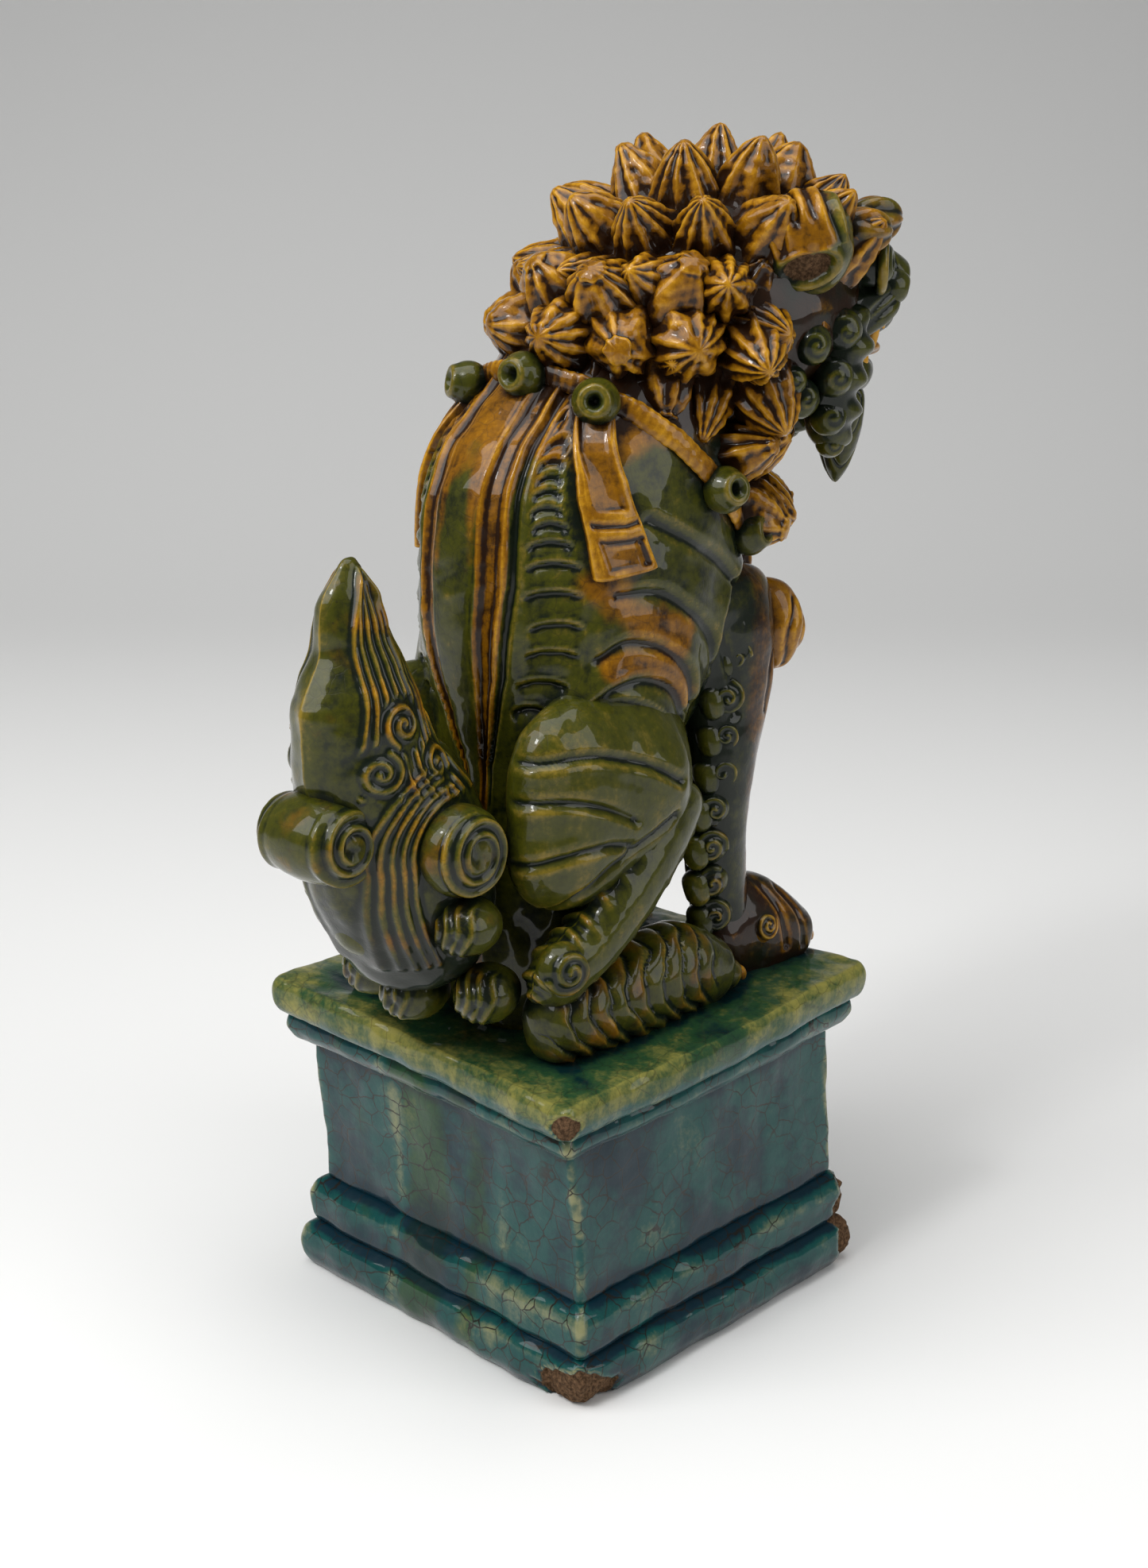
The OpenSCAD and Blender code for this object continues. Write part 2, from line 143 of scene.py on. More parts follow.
class StatueStage(bpy.types.PropertyGroup):
    """The camera and its lights."""

    azimuth: bpy.props.FloatProperty(
        name="Camera azimuth", description="Turn of the camera about the statue", subtype="ANGLE",
        unit="ROTATION", default=math.radians(221.546))
    elevation: bpy.props.FloatProperty(
        name="Camera elevation", description="How far the camera looks down", subtype="ANGLE",
        unit="ROTATION", default=math.radians(17.665))
    distance: bpy.props.FloatProperty(
        name="Camera distance", description="From the camera to the statue's axis", unit="LENGTH",
        default=0.7326)
    aim_height: bpy.props.FloatProperty(
        name="Aim height", description="How far the camera is raised along its own up direction",
        unit="LENGTH", default=0.15607)
    lens: bpy.props.FloatProperty(
        name="Lens", description="Focal length in millimetres on a 36 mm frame", default=51.2)
    key_power: bpy.props.FloatProperty(
        name="Key light", description="Power of the large soft light, in watts", default=15.0)


def settings(name):
    """The property group of that name, held on the scene."""
    return getattr(bpy.context.scene, "statue_" + name)


# ------------------------------------------------------------------ numbers to shapes

def spline(rows, steps):
    """A smooth curve through the rows: a Catmull-Rom cubic at each of the given row numbers."""
    rows = np.asarray(rows, float)
    padded = np.vstack([2 * rows[0] - rows[1], rows, 2 * rows[-1] - rows[-2]])
    i = np.clip(steps.astype(int), 0, len(rows) - 2)
    f = (steps - i)[:, None]
    a, b, c, d = padded[i], padded[i + 1], padded[i + 2], padded[i + 3]
    square = 2 * a - 5 * b + 4 * c - d
    cube = 3 * b - a - 3 * c + d
    return 0.5 * (2 * b + (c - a) * f + square * f ** 2 + cube * f ** 3)


def unit(vectors):
    """Vectors over their lengths."""
    return vectors / np.maximum(np.linalg.norm(vectors, axis=-1, keepdims=True), 1e-9)


def step_up(x, low, high):
    """0 below low, 1 above high, and the cubic 3t^2 - 2t^3 between."""
    t = np.clip((x - low) / (high - low), 0, 1)
    return t * t * (3 - 2 * t)


def bump(x, width):
    """A bell curve, e to the minus (x / width) squared."""
    return np.exp(-(x / width) ** 2)


def uneven(points, size, seed):
    """Soft unevenness from -1 to 1: a sum of products of sines along random directions, size apart."""
    rng = np.random.default_rng(seed)
    total = 0
    for _ in range(5):
        waves = unit(rng.normal(size=(3, 3))).T * rng.uniform(0.6, 1.5, 3) * TAU / size
        turns = rng.uniform(0, TAU, 3)
        total = total + np.prod(np.sin(points @ waves + turns), axis=-1)
    return total / 1.6


def tube(rows, along, around, side=(1.0, 0.0, 0.0), ends=0.5, flat=1.0):
    """A limb. Each row is x, y, z, width, depth, and the rows are joined by a spline.

    The section at each step is an ellipse across the path: its width lies along side, made square to
    the path, and its depth along the third direction. Rows near the ends shrink as a quarter circle
    over the first and last `ends` rows. flat below 1 squares the section.
    """
    rows = np.asarray(rows, float)
    last = len(rows) - 1
    u = np.linspace(0, 1, along)
    steps = last * (u - 0.5 * ends / last * np.sin(TAU * u) / math.pi)
    line = spline(rows, steps)
    centre, width, depth = line[:, :3], line[:, 3], line[:, 4]
    edge = np.minimum(np.minimum(steps, last - steps) / ends, 1)
    shrink = np.sqrt(np.maximum(1 - (1 - edge) ** 2, 0))
    tangent = unit(np.gradient(centre, axis=0))
    across = np.asarray(side) - tangent * (tangent @ np.asarray(side))[:, None]
    across = unit(across)
    third = np.cross(tangent, across)
    turn = np.arange(around) * TAU / around
    c = np.sign(np.cos(turn)) * np.abs(np.cos(turn)) ** flat
    s = np.sign(np.sin(turn)) * np.abs(np.sin(turn)) ** flat
    return (centre[:, None] + across[:, None] * (width * shrink)[:, None, None] * c[None, :, None]
            + third[:, None] * (depth * shrink)[:, None, None] * s[None, :, None])


def pebble(outline, middle, thick, along, around, axes, full=1.0):
    """A pebble: a closed outline in one plane, swelled to both sides of it.

    outline lists [angle in degrees, radius] about the middle, joined by a closed spline. With q from 0
    to pi, a point is at radius times sin(q) to the power `full` across the plane, and at minus thick
    times cos(q) off it, where thick may be a pair for the two sides. axes are the plane's two directions
    and the direction off it.
    """
    outline = np.asarray(outline, float)
    angle = np.arange(around) * TAU / around
    thrice = np.vstack([outline - [360, 0], outline, outline + [360, 0]])
    fine = spline(thrice, np.linspace(0, len(thrice) - 1, 40 * len(thrice)))
    radius = np.interp(angle, np.radians(fine[:, 0]), fine[:, 1])
    q = np.linspace(0, math.pi, along)
    spread = np.sin(q)[:, None] ** full * radius[None, :]
    a, b, c = (np.asarray(v, float) for v in axes)
    low, high = (thick, thick) if np.isscalar(thick) else thick
    off = -np.cos(q)[:, None] * np.where(np.cos(q) > 0, low, high)[:, None]
    return (np.asarray(middle, float) + a * (spread * np.cos(angle))[..., None]
            + b * (spread * np.sin(angle))[..., None] + c * np.broadcast_to(off, spread.shape)[..., None])


def egg(middle, half, along=40, around=56, axes=((1, 0, 0), (0, 1, 0), (0, 0, 1))):
    """An egg with the given half-sizes along its three axes: sines and cosines of two angles."""
    q = np.linspace(0, math.pi, along)[:, None]
    turn = (np.arange(around) * TAU / around)[None]
    a, b, c = (np.asarray(v, float) for v in axes)
    return (np.asarray(middle, float) + a * (half[0] * np.sin(q) * np.cos(turn))[..., None]
            + b * (half[1] * np.sin(q) * np.sin(turn))[..., None]
            + c * (-half[2] * np.cos(q) * np.ones_like(turn))[..., None])


def ring(profile, outline_w, outline_l, corner, around, across):
    """A moulding: a closed profile of [outwards, up] carried round a rectangle with rounded corners.

    The profile's corners are eased by averaging each point with its neighbours, twice.
    """
    p = np.asarray(profile + profile[:1], float)
    length = np.concatenate([[0], np.cumsum(np.linalg.norm(np.diff(p, axis=0), axis=1))])
    at = np.linspace(0, length[-1], across, endpoint=False)
    section = np.stack([np.interp(at, length, p[:, k]) for k in (0, 1)], -1)
    for _ in range(2):
        section = 0.5 * section + 0.25 * (np.roll(section, 1, 0) + np.roll(section, -1, 0))
    base, out = rectangle(outline_w, outline_l, corner, around)
    flat = base[:, None] + out[:, None] * section[None, :, :1]
    return np.concatenate([flat, np.broadcast_to(section[None, :, 1:], flat.shape[:2] + (1,))], -1)


def rectangle(w, l, corner, count):
    """Points round a rectangle with rounded corners, and how each moves when the rectangle grows.

    Each corner is a quarter circle that moves out along its diagonal by (1, 1), and the points of a side
    run evenly between the corners.
    """
    side = count // 4
    points, outs = [], []
    for k, (sx, sy) in enumerate([(1, 1), (-1, 1), (-1, -1), (1, -1)]):
        arc = max(side // 6, 4)
        turn = math.radians(90 * k) + np.linspace(0, math.pi / 2, arc)
        hub = np.array([sx * (w / 2 - corner), sy * (l / 2 - corner)])
        direction = np.stack([np.cos(turn), np.sin(turn)], -1)
        points.append(hub + corner * direction)
        outs.append(np.repeat([[float(sx), float(sy)]], arc, 0))
        nx, ny = [(-1, 1), (-1, -1), (1, -1), (1, 1)][k]
        following = np.array([nx * (w / 2 - corner), ny * (l / 2 - corner)])
        run = np.linspace(0, 1, side - arc + 2)[1:-1, None]
        points.append(hub + corner * direction[-1] + run * (following - hub))
        outs.append((1 - run) * [sx, sy] + run * [nx, ny])
    return np.concatenate(points), np.concatenate(outs)


def outward(grid, closed=False):
    """Unit normals of a grid that wraps round: the cross product of its two edge directions.

    They are turned to face away from the shape's inside, found from the sign of its volume.
    """
    if closed:
        down = np.roll(grid, -1, 0) - np.roll(grid, 1, 0)
    else:
        down = np.gradient(grid, axis=0)
    sideways = np.roll(grid, -1, 1) - np.roll(grid, 1, 1)
    n = np.cross(sideways, down)
    if not closed:
        n[0] = n[1].mean(0)
        n[-1] = n[-2].mean(0)
    volume = np.sum((grid - grid.mean((0, 1))) * n)
    return unit(n) * (1 if volume > 0 else -1)


def raised(grid, height):
    """The grid moved along its normals by a height at each point."""
    return grid + outward(grid) * height[..., None]


def sharpness(grid, normals, reach, closed=False):
    """How sharply the surface bends at each point, from -1 in a groove to 1 on a ridge.

    It is how far the point stands out from the mean of its neighbours, over their distance squared.
    """
    def neighbour(k, axis):
        if axis == 1 or closed:
            return np.roll(grid, k, axis)
        i = np.clip(np.arange(len(grid)) - k, 0, len(grid) - 1)
        return grid[i]

    total = 0
    for axis in (0, 1):
        cell = np.median(np.linalg.norm(grid - neighbour(1, axis), axis=-1)) + 1e-6
        k = max(1, int(round(reach / cell)))
        before, after = neighbour(k, axis) - grid, neighbour(-k, axis) - grid
        gap = 0.5 * (np.linalg.norm(before, axis=-1) + np.linalg.norm(after, axis=-1)) + 0.25 * reach
        total = total - np.sum((before + after) * normals, -1) / gap ** 2
    return np.tanh(1.6 * total)


def near_line(s, t, points, reach):
    """Distance from each (s, t) to a smooth line through the points, ten steps to a span, up to reach."""
    points = np.asarray(points, float)
    line = spline(points, np.linspace(0, len(points) - 1, 10 * (len(points) - 1) + 1))
    best = np.full(s.shape, float(reach))
    low, high = line.min(0) - reach, line.max(0) + reach
    box = (s > low[0]) & (s < high[0]) & (t > low[1]) & (t < high[1])
    p = np.stack([s[box], t[box]], -1)
    found = np.full(len(p), float(reach))
    for a, b in zip(line[:-1], line[1:]):
        edge = b - a
        f = np.clip(((p - a) @ edge) / max(edge @ edge, 1e-9), 0, 1)
        found = np.minimum(found, np.linalg.norm(p - a - f[:, None] * edge, axis=-1))
    best[box] = found
    return best


def scratch(s, t, lines, width, depth):
    """Height of grooves (depth below 0) or ridges along lines: a bell curve of the distance to each."""
    height = np.zeros(s.shape)
    for points in lines:
        height = height + depth * bump(near_line(s, t, points, 3 * width), width)
    return height


def spiral(middle, radius, turns, start, hand=1):
    """Points of a curl in a plane: the radius shrinks evenly to a tenth as the angle turns."""
    f = np.linspace(0, 1, int(10 * turns) + 2)
    angle = math.radians(start) + hand * TAU * turns * f
    r = radius * (1 - 0.9 * f)
    return np.stack([middle[0] + r * np.cos(angle), middle[1] + r * np.sin(angle)], -1)


def mirrored(patches):
    """The same patches on the lion's other side."""
    return [dict(p, points=p["points"] * [-1, 1, 1]) for p in patches]


def on_slab(points):
    """From the lion's measures to the statue's, in millimetres."""
    return np.asarray(points) * LION_SCALE + [0, 0, SLAB_HIGH[2]]


# ------------------------------------------------------------------ meshes

def patch(points, amber=0.0, bare=0.0, deep=0.0, closed=False, reach=0.8):
    """A grid of points, made a little uneven, with the masks that its glaze reads at each of them.

    deep thickens the glaze: it is taken off the sharpness, so that ridges show less and grooves more. On the
    skull, deep is painted shade for its shadowed skin rather than thicker glaze.
    """
    normals = outward(points, closed)
    points = points + normals * (0.05 * uneven(points, 9, 91) + 0.2 * uneven(points, 30, 92))[..., None]
    shape = points.shape[:2]
    return {
        "points": points, "closed": closed,
        "amber": np.clip(np.broadcast_to(amber, shape), 0, 1),
        "bare": np.clip(np.broadcast_to(bare, shape), 0, 1),
        "edge": sharpness(points, normals, reach, closed) - deep,
    }


def numbered(rows, columns, start, closed):
    """Vertex numbers of a grid. The first and last rows of an open grid are one point each."""
    if closed:
        return start + np.arange(rows * columns).reshape(rows, columns), rows * columns
    inner = start + 1 + np.arange((rows - 2) * columns).reshape(rows - 2, columns)
    end = start + 1 + (rows - 2) * columns
    index = np.vstack([np.full((1, columns), start), inner, np.full((1, columns), end)])
    return index, (rows - 2) * columns + 2


def kept(values, closed):
    """Values of a grid in the order of its vertex numbers."""
    if closed:
        return values.reshape(-1, *values.shape[2:])
    inner = values[1:-1].reshape(-1, *values.shape[2:])
    return np.concatenate([values[:1].mean(1), inner, values[-1:].mean(1)])


def build(name, patches, nodes, slot, lion=True):
    """Makes one mesh object of closed patches, which stands for the CAD nodes it replaces."""
    name = "glazed_" + name
    spots, quads, masks, start = [], [], {"edge": [], "amber": [], "bare": []}, 0
    for p in patches:
        rows, columns = p["points"].shape[:2]
        index, used = numbered(rows, columns, start, p["closed"])
        if p["closed"]:
            lower, upper = index, np.roll(index, -1, 0)
        else:
            lower, upper = index[:-1], index[1:]
        faces = np.stack([lower, np.roll(lower, -1, 1), np.roll(upper, -1, 1), upper], -1).reshape(-1, 4)
        spot = kept(p["points"], p["closed"])
        a, b, c, d = (spot[faces[:, k] - start] for k in range(4))
        if np.sum((a - spot.mean(0)) * np.cross(c - a, d - b)) < 0:
            faces = faces[:, ::-1]
        spots.append(spot)
        quads.append(faces)
        for key in masks:
            masks[key].append(kept(p[key], p["closed"]))
        start += used
    spots, quads = np.concatenate(spots), np.concatenate(quads)
    spots = (on_slab(spots) if lion else spots) * MM
    corners = quads.reshape(-1)
    keep = np.ones(len(corners), bool)
    twice = quads == np.roll(quads, 1, 1)
    keep[twice.reshape(-1)] = False
    totals = (~twice).sum(1)
    starts = np.concatenate([[0], np.cumsum(totals)[:-1]])
    mesh = bpy.data.meshes.new(name)
    mesh.vertices.add(len(spots))
    mesh.vertices.foreach_set("co", spots.astype(np.float32).ravel())
    mesh.loops.add(int(totals.sum()))
    mesh.loops.foreach_set("vertex_index", corners[keep].astype(np.int32))
    mesh.polygons.add(len(quads))
    mesh.polygons.foreach_set("loop_start", starts.astype(np.int32))
    mesh.polygons.foreach_set("loop_total", totals.astype(np.int32))
    mesh.polygons.foreach_set("use_smooth", np.ones(len(quads), bool))
    mesh.update(calc_edges=True)
    if mesh.validate():
        raise RuntimeError(name + " has faces that don't join up")
    for key, parts in masks.items():
        layer = mesh.attributes.new(key, "FLOAT", "POINT")
        layer.data.foreach_set("value", np.concatenate(parts).astype(np.float32))
    # An empty pool mask, filled later with painted shade in crevices between pieces and glaze pooled there.
    mesh.attributes.new("crevice_pool_and_shade", "FLOAT", "POINT")
    piece = bpy.data.objects.new(name, mesh)
    bpy.context.collection.objects.link(piece)
    mesh.materials.append(glaze(slot))
    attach(piece, BODY)
    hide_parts(*nodes)


def build_side(name, side, patches, node, slot):
    """Makes a piece from patches of the lion's right side, or from their mirror image on its left."""
    ending = "_right" if side < 0 else "_left"
    build(name + ending, patches if side < 0 else mirrored(patches), [node + ending], slot)


# ------------------------------------------------------------------ glazes

def socket(group, name, kind, way="INPUT", default=None):
    """Adds a named socket to a node group."""
    made = group.interface.new_socket(name=name, in_out=way, socket_type="NodeSocket" + kind)
    if default is not None:
        made.default_value = default
    return made


def wire(tree, kind, inputs=None, **fields):
    """A node with its fields set, and its inputs given as values or as sockets to link from."""
    node = tree.nodes.new("ShaderNode" + kind)
    for key, value in fields.items():
        setattr(node, key, value)
    for key, value in (inputs or {}).items():
        if isinstance(value, bpy.types.NodeSocket):
            tree.links.new(value, node.inputs[key])
        else:
            node.inputs[key].default_value = value
    return node


def sums(tree, operation, a, b, clamp=False):
    """The result of a sum of two values or sockets."""
    return wire(tree, "Math", {0: a, 1: b}, operation=operation, use_clamp=clamp).outputs[0]


def mixed(tree, factor, a, b):
    """A mix of two colours."""
    node = wire(tree, "Mix", data_type="RGBA")
    for key, value in ((0, factor), (6, a), (7, b)):
        if isinstance(value, bpy.types.NodeSocket):
            tree.links.new(value, node.inputs[key])
        else:
            node.inputs[key].default_value = value
    return node.outputs[2]


def ramp(tree, value, low, high):
    """A value eased from 0 at low to 1 at high."""
    inputs = {0: value, 1: low, 2: high, 3: 0.0, 4: 1.0}
    return wire(tree, "MapRange", inputs, interpolation_type="SMOOTHSTEP").outputs[0]


def group_named(name, make):
    """The node group of that name, made once."""
    if name not in bpy.data.node_groups:
        group = bpy.data.node_groups.new(name, "ShaderNodeTree")
        make(group)
    return bpy.data.node_groups[name]


def make_glaze_depth(group):
    """How deep the glaze lies, from 0 on a ridge to 1 in a groove, with mottling and runs; the pool input
    adds painted shade in crevices between pieces along with pooled glaze.
    """
    for name, default in (("Edge", 0.0), ("Crevice pool and shade", 0.0), ("Mottle", 0.3), ("Deeper", 0.0)):
        socket(group, name, "Float", default=default)
    socket(group, "Place", "Vector")
    socket(group, "Depth", "Float", "OUTPUT")
    socket(group, "Speck", "Float", "OUTPUT")
    ins, outs = group.nodes.new("NodeGroupInput"), group.nodes.new("NodeGroupOutput")
    place = ins.outputs["Place"]
    patches = wire(group, "TexNoise", {"Vector": place, "Scale": 75.0, "Detail": 4.0, "Roughness": 0.6})
    grain = wire(group, "TexNoise", {"Vector": place, "Scale": 620.0, "Detail": 3.0, "Roughness": 0.65})
    runs = wire(group, "Mapping", {"Vector": place, "Scale": (1.0, 1.0, 0.16)})
    runny = wire(group, "TexNoise", {"Vector": runs.outputs[0], "Scale": 190.0, "Detail": 3.0})
    spread = sums(group, "ADD", patches.outputs[0], sums(group, "MULTIPLY", runny.outputs[0], 0.8))
    spread = sums(group, "ADD", spread, sums(group, "MULTIPLY", grain.outputs[0], 0.7))
    spread = sums(group, "SUBTRACT", spread, 1.25)
    wander = sums(group, "MULTIPLY", spread, ins.outputs["Mottle"])
    ridge = sums(group, "MULTIPLY", sums(group, "MAXIMUM", ins.outputs["Edge"], 0.0), -0.50)
    ridge = sums(group, "MULTIPLY", ridge, sums(group, "ADD", 0.3, patches.outputs[0]))
    groove = sums(group, "MULTIPLY", sums(group, "MINIMUM", ins.outputs["Edge"], 0.0), -0.75)
    edge = sums(group, "ADD", ridge, groove)
    depth = sums(group, "ADD", edge, 0.45)
    # The pool mask darkens crevices between pieces: painted shade, with the glaze that pools there.
    depth = sums(group, "ADD", depth, sums(group, "MULTIPLY", ins.outputs["Crevice pool and shade"], 0.55))
    depth = sums(group, "ADD", depth, ins.outputs["Deeper"])
    depth = sums(group, "ADD", depth, wander, clamp=True)
    specks = wire(group, "TexVoronoi", {"Vector": place, "Scale": 330.0, "Randomness": 1.0})
    speck = ramp(group, specks.outputs["Distance"], 0.17, 0.08)
    speck = sums(group, "MULTIPLY", speck, ramp(group, patches.outputs[0], 0.52, 0.62))
    group.links.new(depth, outs.inputs["Depth"])
    group.links.new(speck, outs.inputs["Speck"])


def make_glaze_layers(group):
    """The colour of one glaze at a depth: thin, then its body, then pooled."""
    for name in ("Thin", "Body", "Pooled"):
        socket(group, name, "Color", default=(0.5, 0.5, 0.5, 1))
    socket(group, "Depth", "Float", default=0.5)
    socket(group, "Color", "Color", "OUTPUT")
    ins, outs = group.nodes.new("NodeGroupInput"), group.nodes.new("NodeGroupOutput")
    depth = ins.outputs["Depth"]
    first = mixed(group, ramp(group, depth, 0.02, 0.48), ins.outputs["Thin"], ins.outputs["Body"])
    second = mixed(group, ramp(group, depth, 0.42, 0.88), first, ins.outputs["Pooled"])
    group.links.new(second, outs.inputs["Color"])


def make_crackle(group):
    """Fine dark cracks between cells of glaze: where the two nearest cell points are as near."""
    socket(group, "Place", "Vector")
    socket(group, "Cells", "Float", default=160.0)
    socket(group, "Crack", "Float", "OUTPUT")
    ins, outs = group.nodes.new("NodeGroupInput"), group.nodes.new("NodeGroupOutput")
    warp = wire(group, "TexNoise", {"Vector": ins.outputs["Place"], "Scale": 220.0, "Detail": 2.0})
    moved = wire(group, "VectorMath", {0: warp.outputs["Color"], 3: 0.0025}, operation="SCALE").outputs[0]
    place = wire(group, "VectorMath", {0: ins.outputs["Place"], 1: moved}, operation="ADD").outputs[0]
    cells = wire(group, "TexVoronoi", {"Vector": place, "Scale": ins.outputs["Cells"]},
                 feature="DISTANCE_TO_EDGE")
    fade = wire(group, "TexNoise", {"Vector": ins.outputs["Place"], "Scale": 40.0, "Detail": 2.0})
    crack = ramp(group, cells.outputs["Distance"], 0.045, 0.006)
    crack = sums(group, "MULTIPLY", crack, ramp(group, fade.outputs[0], 0.3, 0.55))
    group.links.new(crack, outs.inputs["Crack"])


# Each glaze slot: first glaze, second glaze, mottling, cracks in a metre, strength of the cracks, and
# how much deeper than usual the glaze lies.
GLAZES = {
    "slab_glaze": ("jade", "blue", 0.6, 150.0, 0.35, 0.05),
    "plinth_glaze": ("blue", "jade", 0.45, 150.0, 1.0, 0.13),
    "body_glaze": ("green", "amber", 0.7, 190.0, 0.25, 0.06),
    "limb_glaze": ("green", "amber", 0.6, 200.0, 0.22, 0.10),
    "amber_glaze": ("green", "amber", 0.7, 240.0, 0.12, 0.0),
    "pale_glaze": ("green", "amber", 0.5, 240.0, 0.10, 0.0),
}


def glaze(slot):
    """The material of a slot: two layered glazes over clay, cracked, under a clear glossy coat."""
    name = "fired_" + slot
    if name in bpy.data.materials:
        return bpy.data.materials[name]
    first, second, mottle, cells, strength, deeper = GLAZES[slot]
    colours = settings("glazes")
    material = bpy.data.materials.new(name)
    material.use_nodes = True
    tree = material.node_tree
    tree.nodes.clear()
    place = wire(tree, "TexCoord").outputs["Object"]
    # pool is painted shade in crevices between pieces as well as pooled glaze.
    edge, crevice_pool_and_shade, amber, bare = (wire(tree, "Attribute", attribute_name=n).outputs["Fac"]
                               for n in ("edge", "crevice_pool_and_shade", "amber", "bare"))

    def placed(name, make, inputs):
        node = tree.nodes.new("ShaderNodeGroup")
        node.node_tree = group_named(name, make)
        for key, value in inputs.items():
            if isinstance(value, bpy.types.NodeSocket):
                tree.links.new(value, node.inputs[key])
            else:
                node.inputs[key].default_value = value
        return node

    depth = placed("glaze_depth", make_glaze_depth, {
        "Edge": edge, "Crevice pool and shade": crevice_pool_and_shade, "Mottle": mottle, "Deeper": deeper, "Place": place})
    crackle = placed("glaze_crackle", make_crackle, {"Place": place, "Cells": cells})

    def layers(kind):
        shades = {n: (*getattr(colours, kind + "_" + k), 1) for n, k in
                  (("Thin", "thin"), ("Body", "body"), ("Pooled", "deep"))}
        shades["Depth"] = depth.outputs["Depth"]
        return placed("glaze_layers", make_glaze_layers, shades).outputs[0]

    drift = wire(tree, "TexNoise", {"Vector": place, "Scale": 110.0, "Detail": 3.0})
    wander = sums(tree, "MULTIPLY", sums(tree, "SUBTRACT", drift.outputs[0], 0.5), 0.9)
    share = sums(tree, "ADD", amber, wander)
    colour = mixed(tree, ramp(tree, share, 0.3, 0.7), layers(first), layers(second))
    dark = sums(tree, "MULTIPLY", crackle.outputs[0], strength)
    dark = sums(tree, "MAXIMUM", dark, sums(tree, "MULTIPLY", depth.outputs["Speck"], 0.5))
    colour = mixed(tree, dark, colour, (0.012, 0.010, 0.007, 1))
    crumbs = wire(tree, "TexNoise", {"Vector": place, "Scale": 900.0, "Detail": 4.0, "Roughness": 0.7})
    dark_clay, pale_clay = ((*[c * light for c in colours.clay], 1) for light in (0.45, 1.7))
    soil = mixed(tree, ramp(tree, crumbs.outputs[0], 0.35, 0.7), dark_clay, pale_clay)
    ragged = sums(tree, "MULTIPLY", sums(tree, "SUBTRACT", crumbs.outputs[0], 0.5), 0.5)
    chipped = ramp(tree, sums(tree, "ADD", bare, ragged), 0.4, 0.55)
    colour = mixed(tree, chipped, colour, soil)
    swell = wire(tree, "TexNoise", {"Vector": place, "Scale": 260.0, "Detail": 3.0})
    height = sums(tree, "ADD", swell.outputs[0], sums(tree, "MULTIPLY", crackle.outputs[0], -0.12))
    gravel = sums(tree, "MULTIPLY", sums(tree, "MULTIPLY", crumbs.outputs[0], chipped), 1.6)
    height = sums(tree, "ADD", height, gravel)
    relief = wire(tree, "Bump", {"Strength": 0.3, "Distance": 0.0009, "Height": height})
    skin = wire(tree, "BsdfPrincipled", {
        "Base Color": colour,
        "Roughness": sums(tree, "ADD", sums(tree, "MULTIPLY", chipped, 0.5), 0.4),
        "Coat Weight": sums(tree, "SUBTRACT", 0.85, chipped, clamp=True),
        "Specular IOR Level": 0.1,
        "Coat Roughness": 0.05,
        "Coat IOR": 1.36,
        "Normal": relief.outputs[0],
    })
    out = wire(tree, "OutputMaterial", {"Surface": skin.outputs[0]})
    out.is_active_output = True
    return material


# ------------------------------------------------------------------ plinth

def settled(points):
    """The plinth as its clay sank: the foot turns a little under the slab, and no side is quite flat."""
    z = points[..., 2]
    low = 1 - step_up(z, 30, 84)
    turn = np.radians(-3.0) * low
    x = points[..., 0] * np.cos(turn) - points[..., 1] * np.sin(turn) - 1.8 * low
    y = points[..., 0] * np.sin(turn) + points[..., 1] * np.cos(turn) - 2.0 * low
    near = bump(np.hypot(x - SLAB_LOW[0], y - SLAB_HIGH[1]), 45) * step_up(z, 40, 92)
    x, y = x + 3.6 * near, y + 5.0 * near
    sides = bump(np.hypot(x - SLAB_HIGH[0], y - SLAB_HIGH[1]), 50)
    sides = sides + bump(np.hypot(x - SLAB_LOW[0], y - SLAB_LOW[1]), 50)
    z = z + 3.0 * sides * step_up(z, 70, 95)
    moved = np.stack([x, y, z], -1)
    sway = 0.6 * uneven(points, 46, 3) + 0.12 * uneven(points, 15, 4)
    out = unit(points * [1, 1, 0])
    return moved + out * sway[..., None]


def chipped_corner(points, corner, reach, seed):
    """How much of the glaze and clay is gone near a corner, from 0 to 1, with a ragged rim."""
    away = np.linalg.norm((points - corner) / reach, axis=-1)
    return step_up(1.0 + 0.13 * uneven(points, 12, seed) - away, 0.0, 0.3)


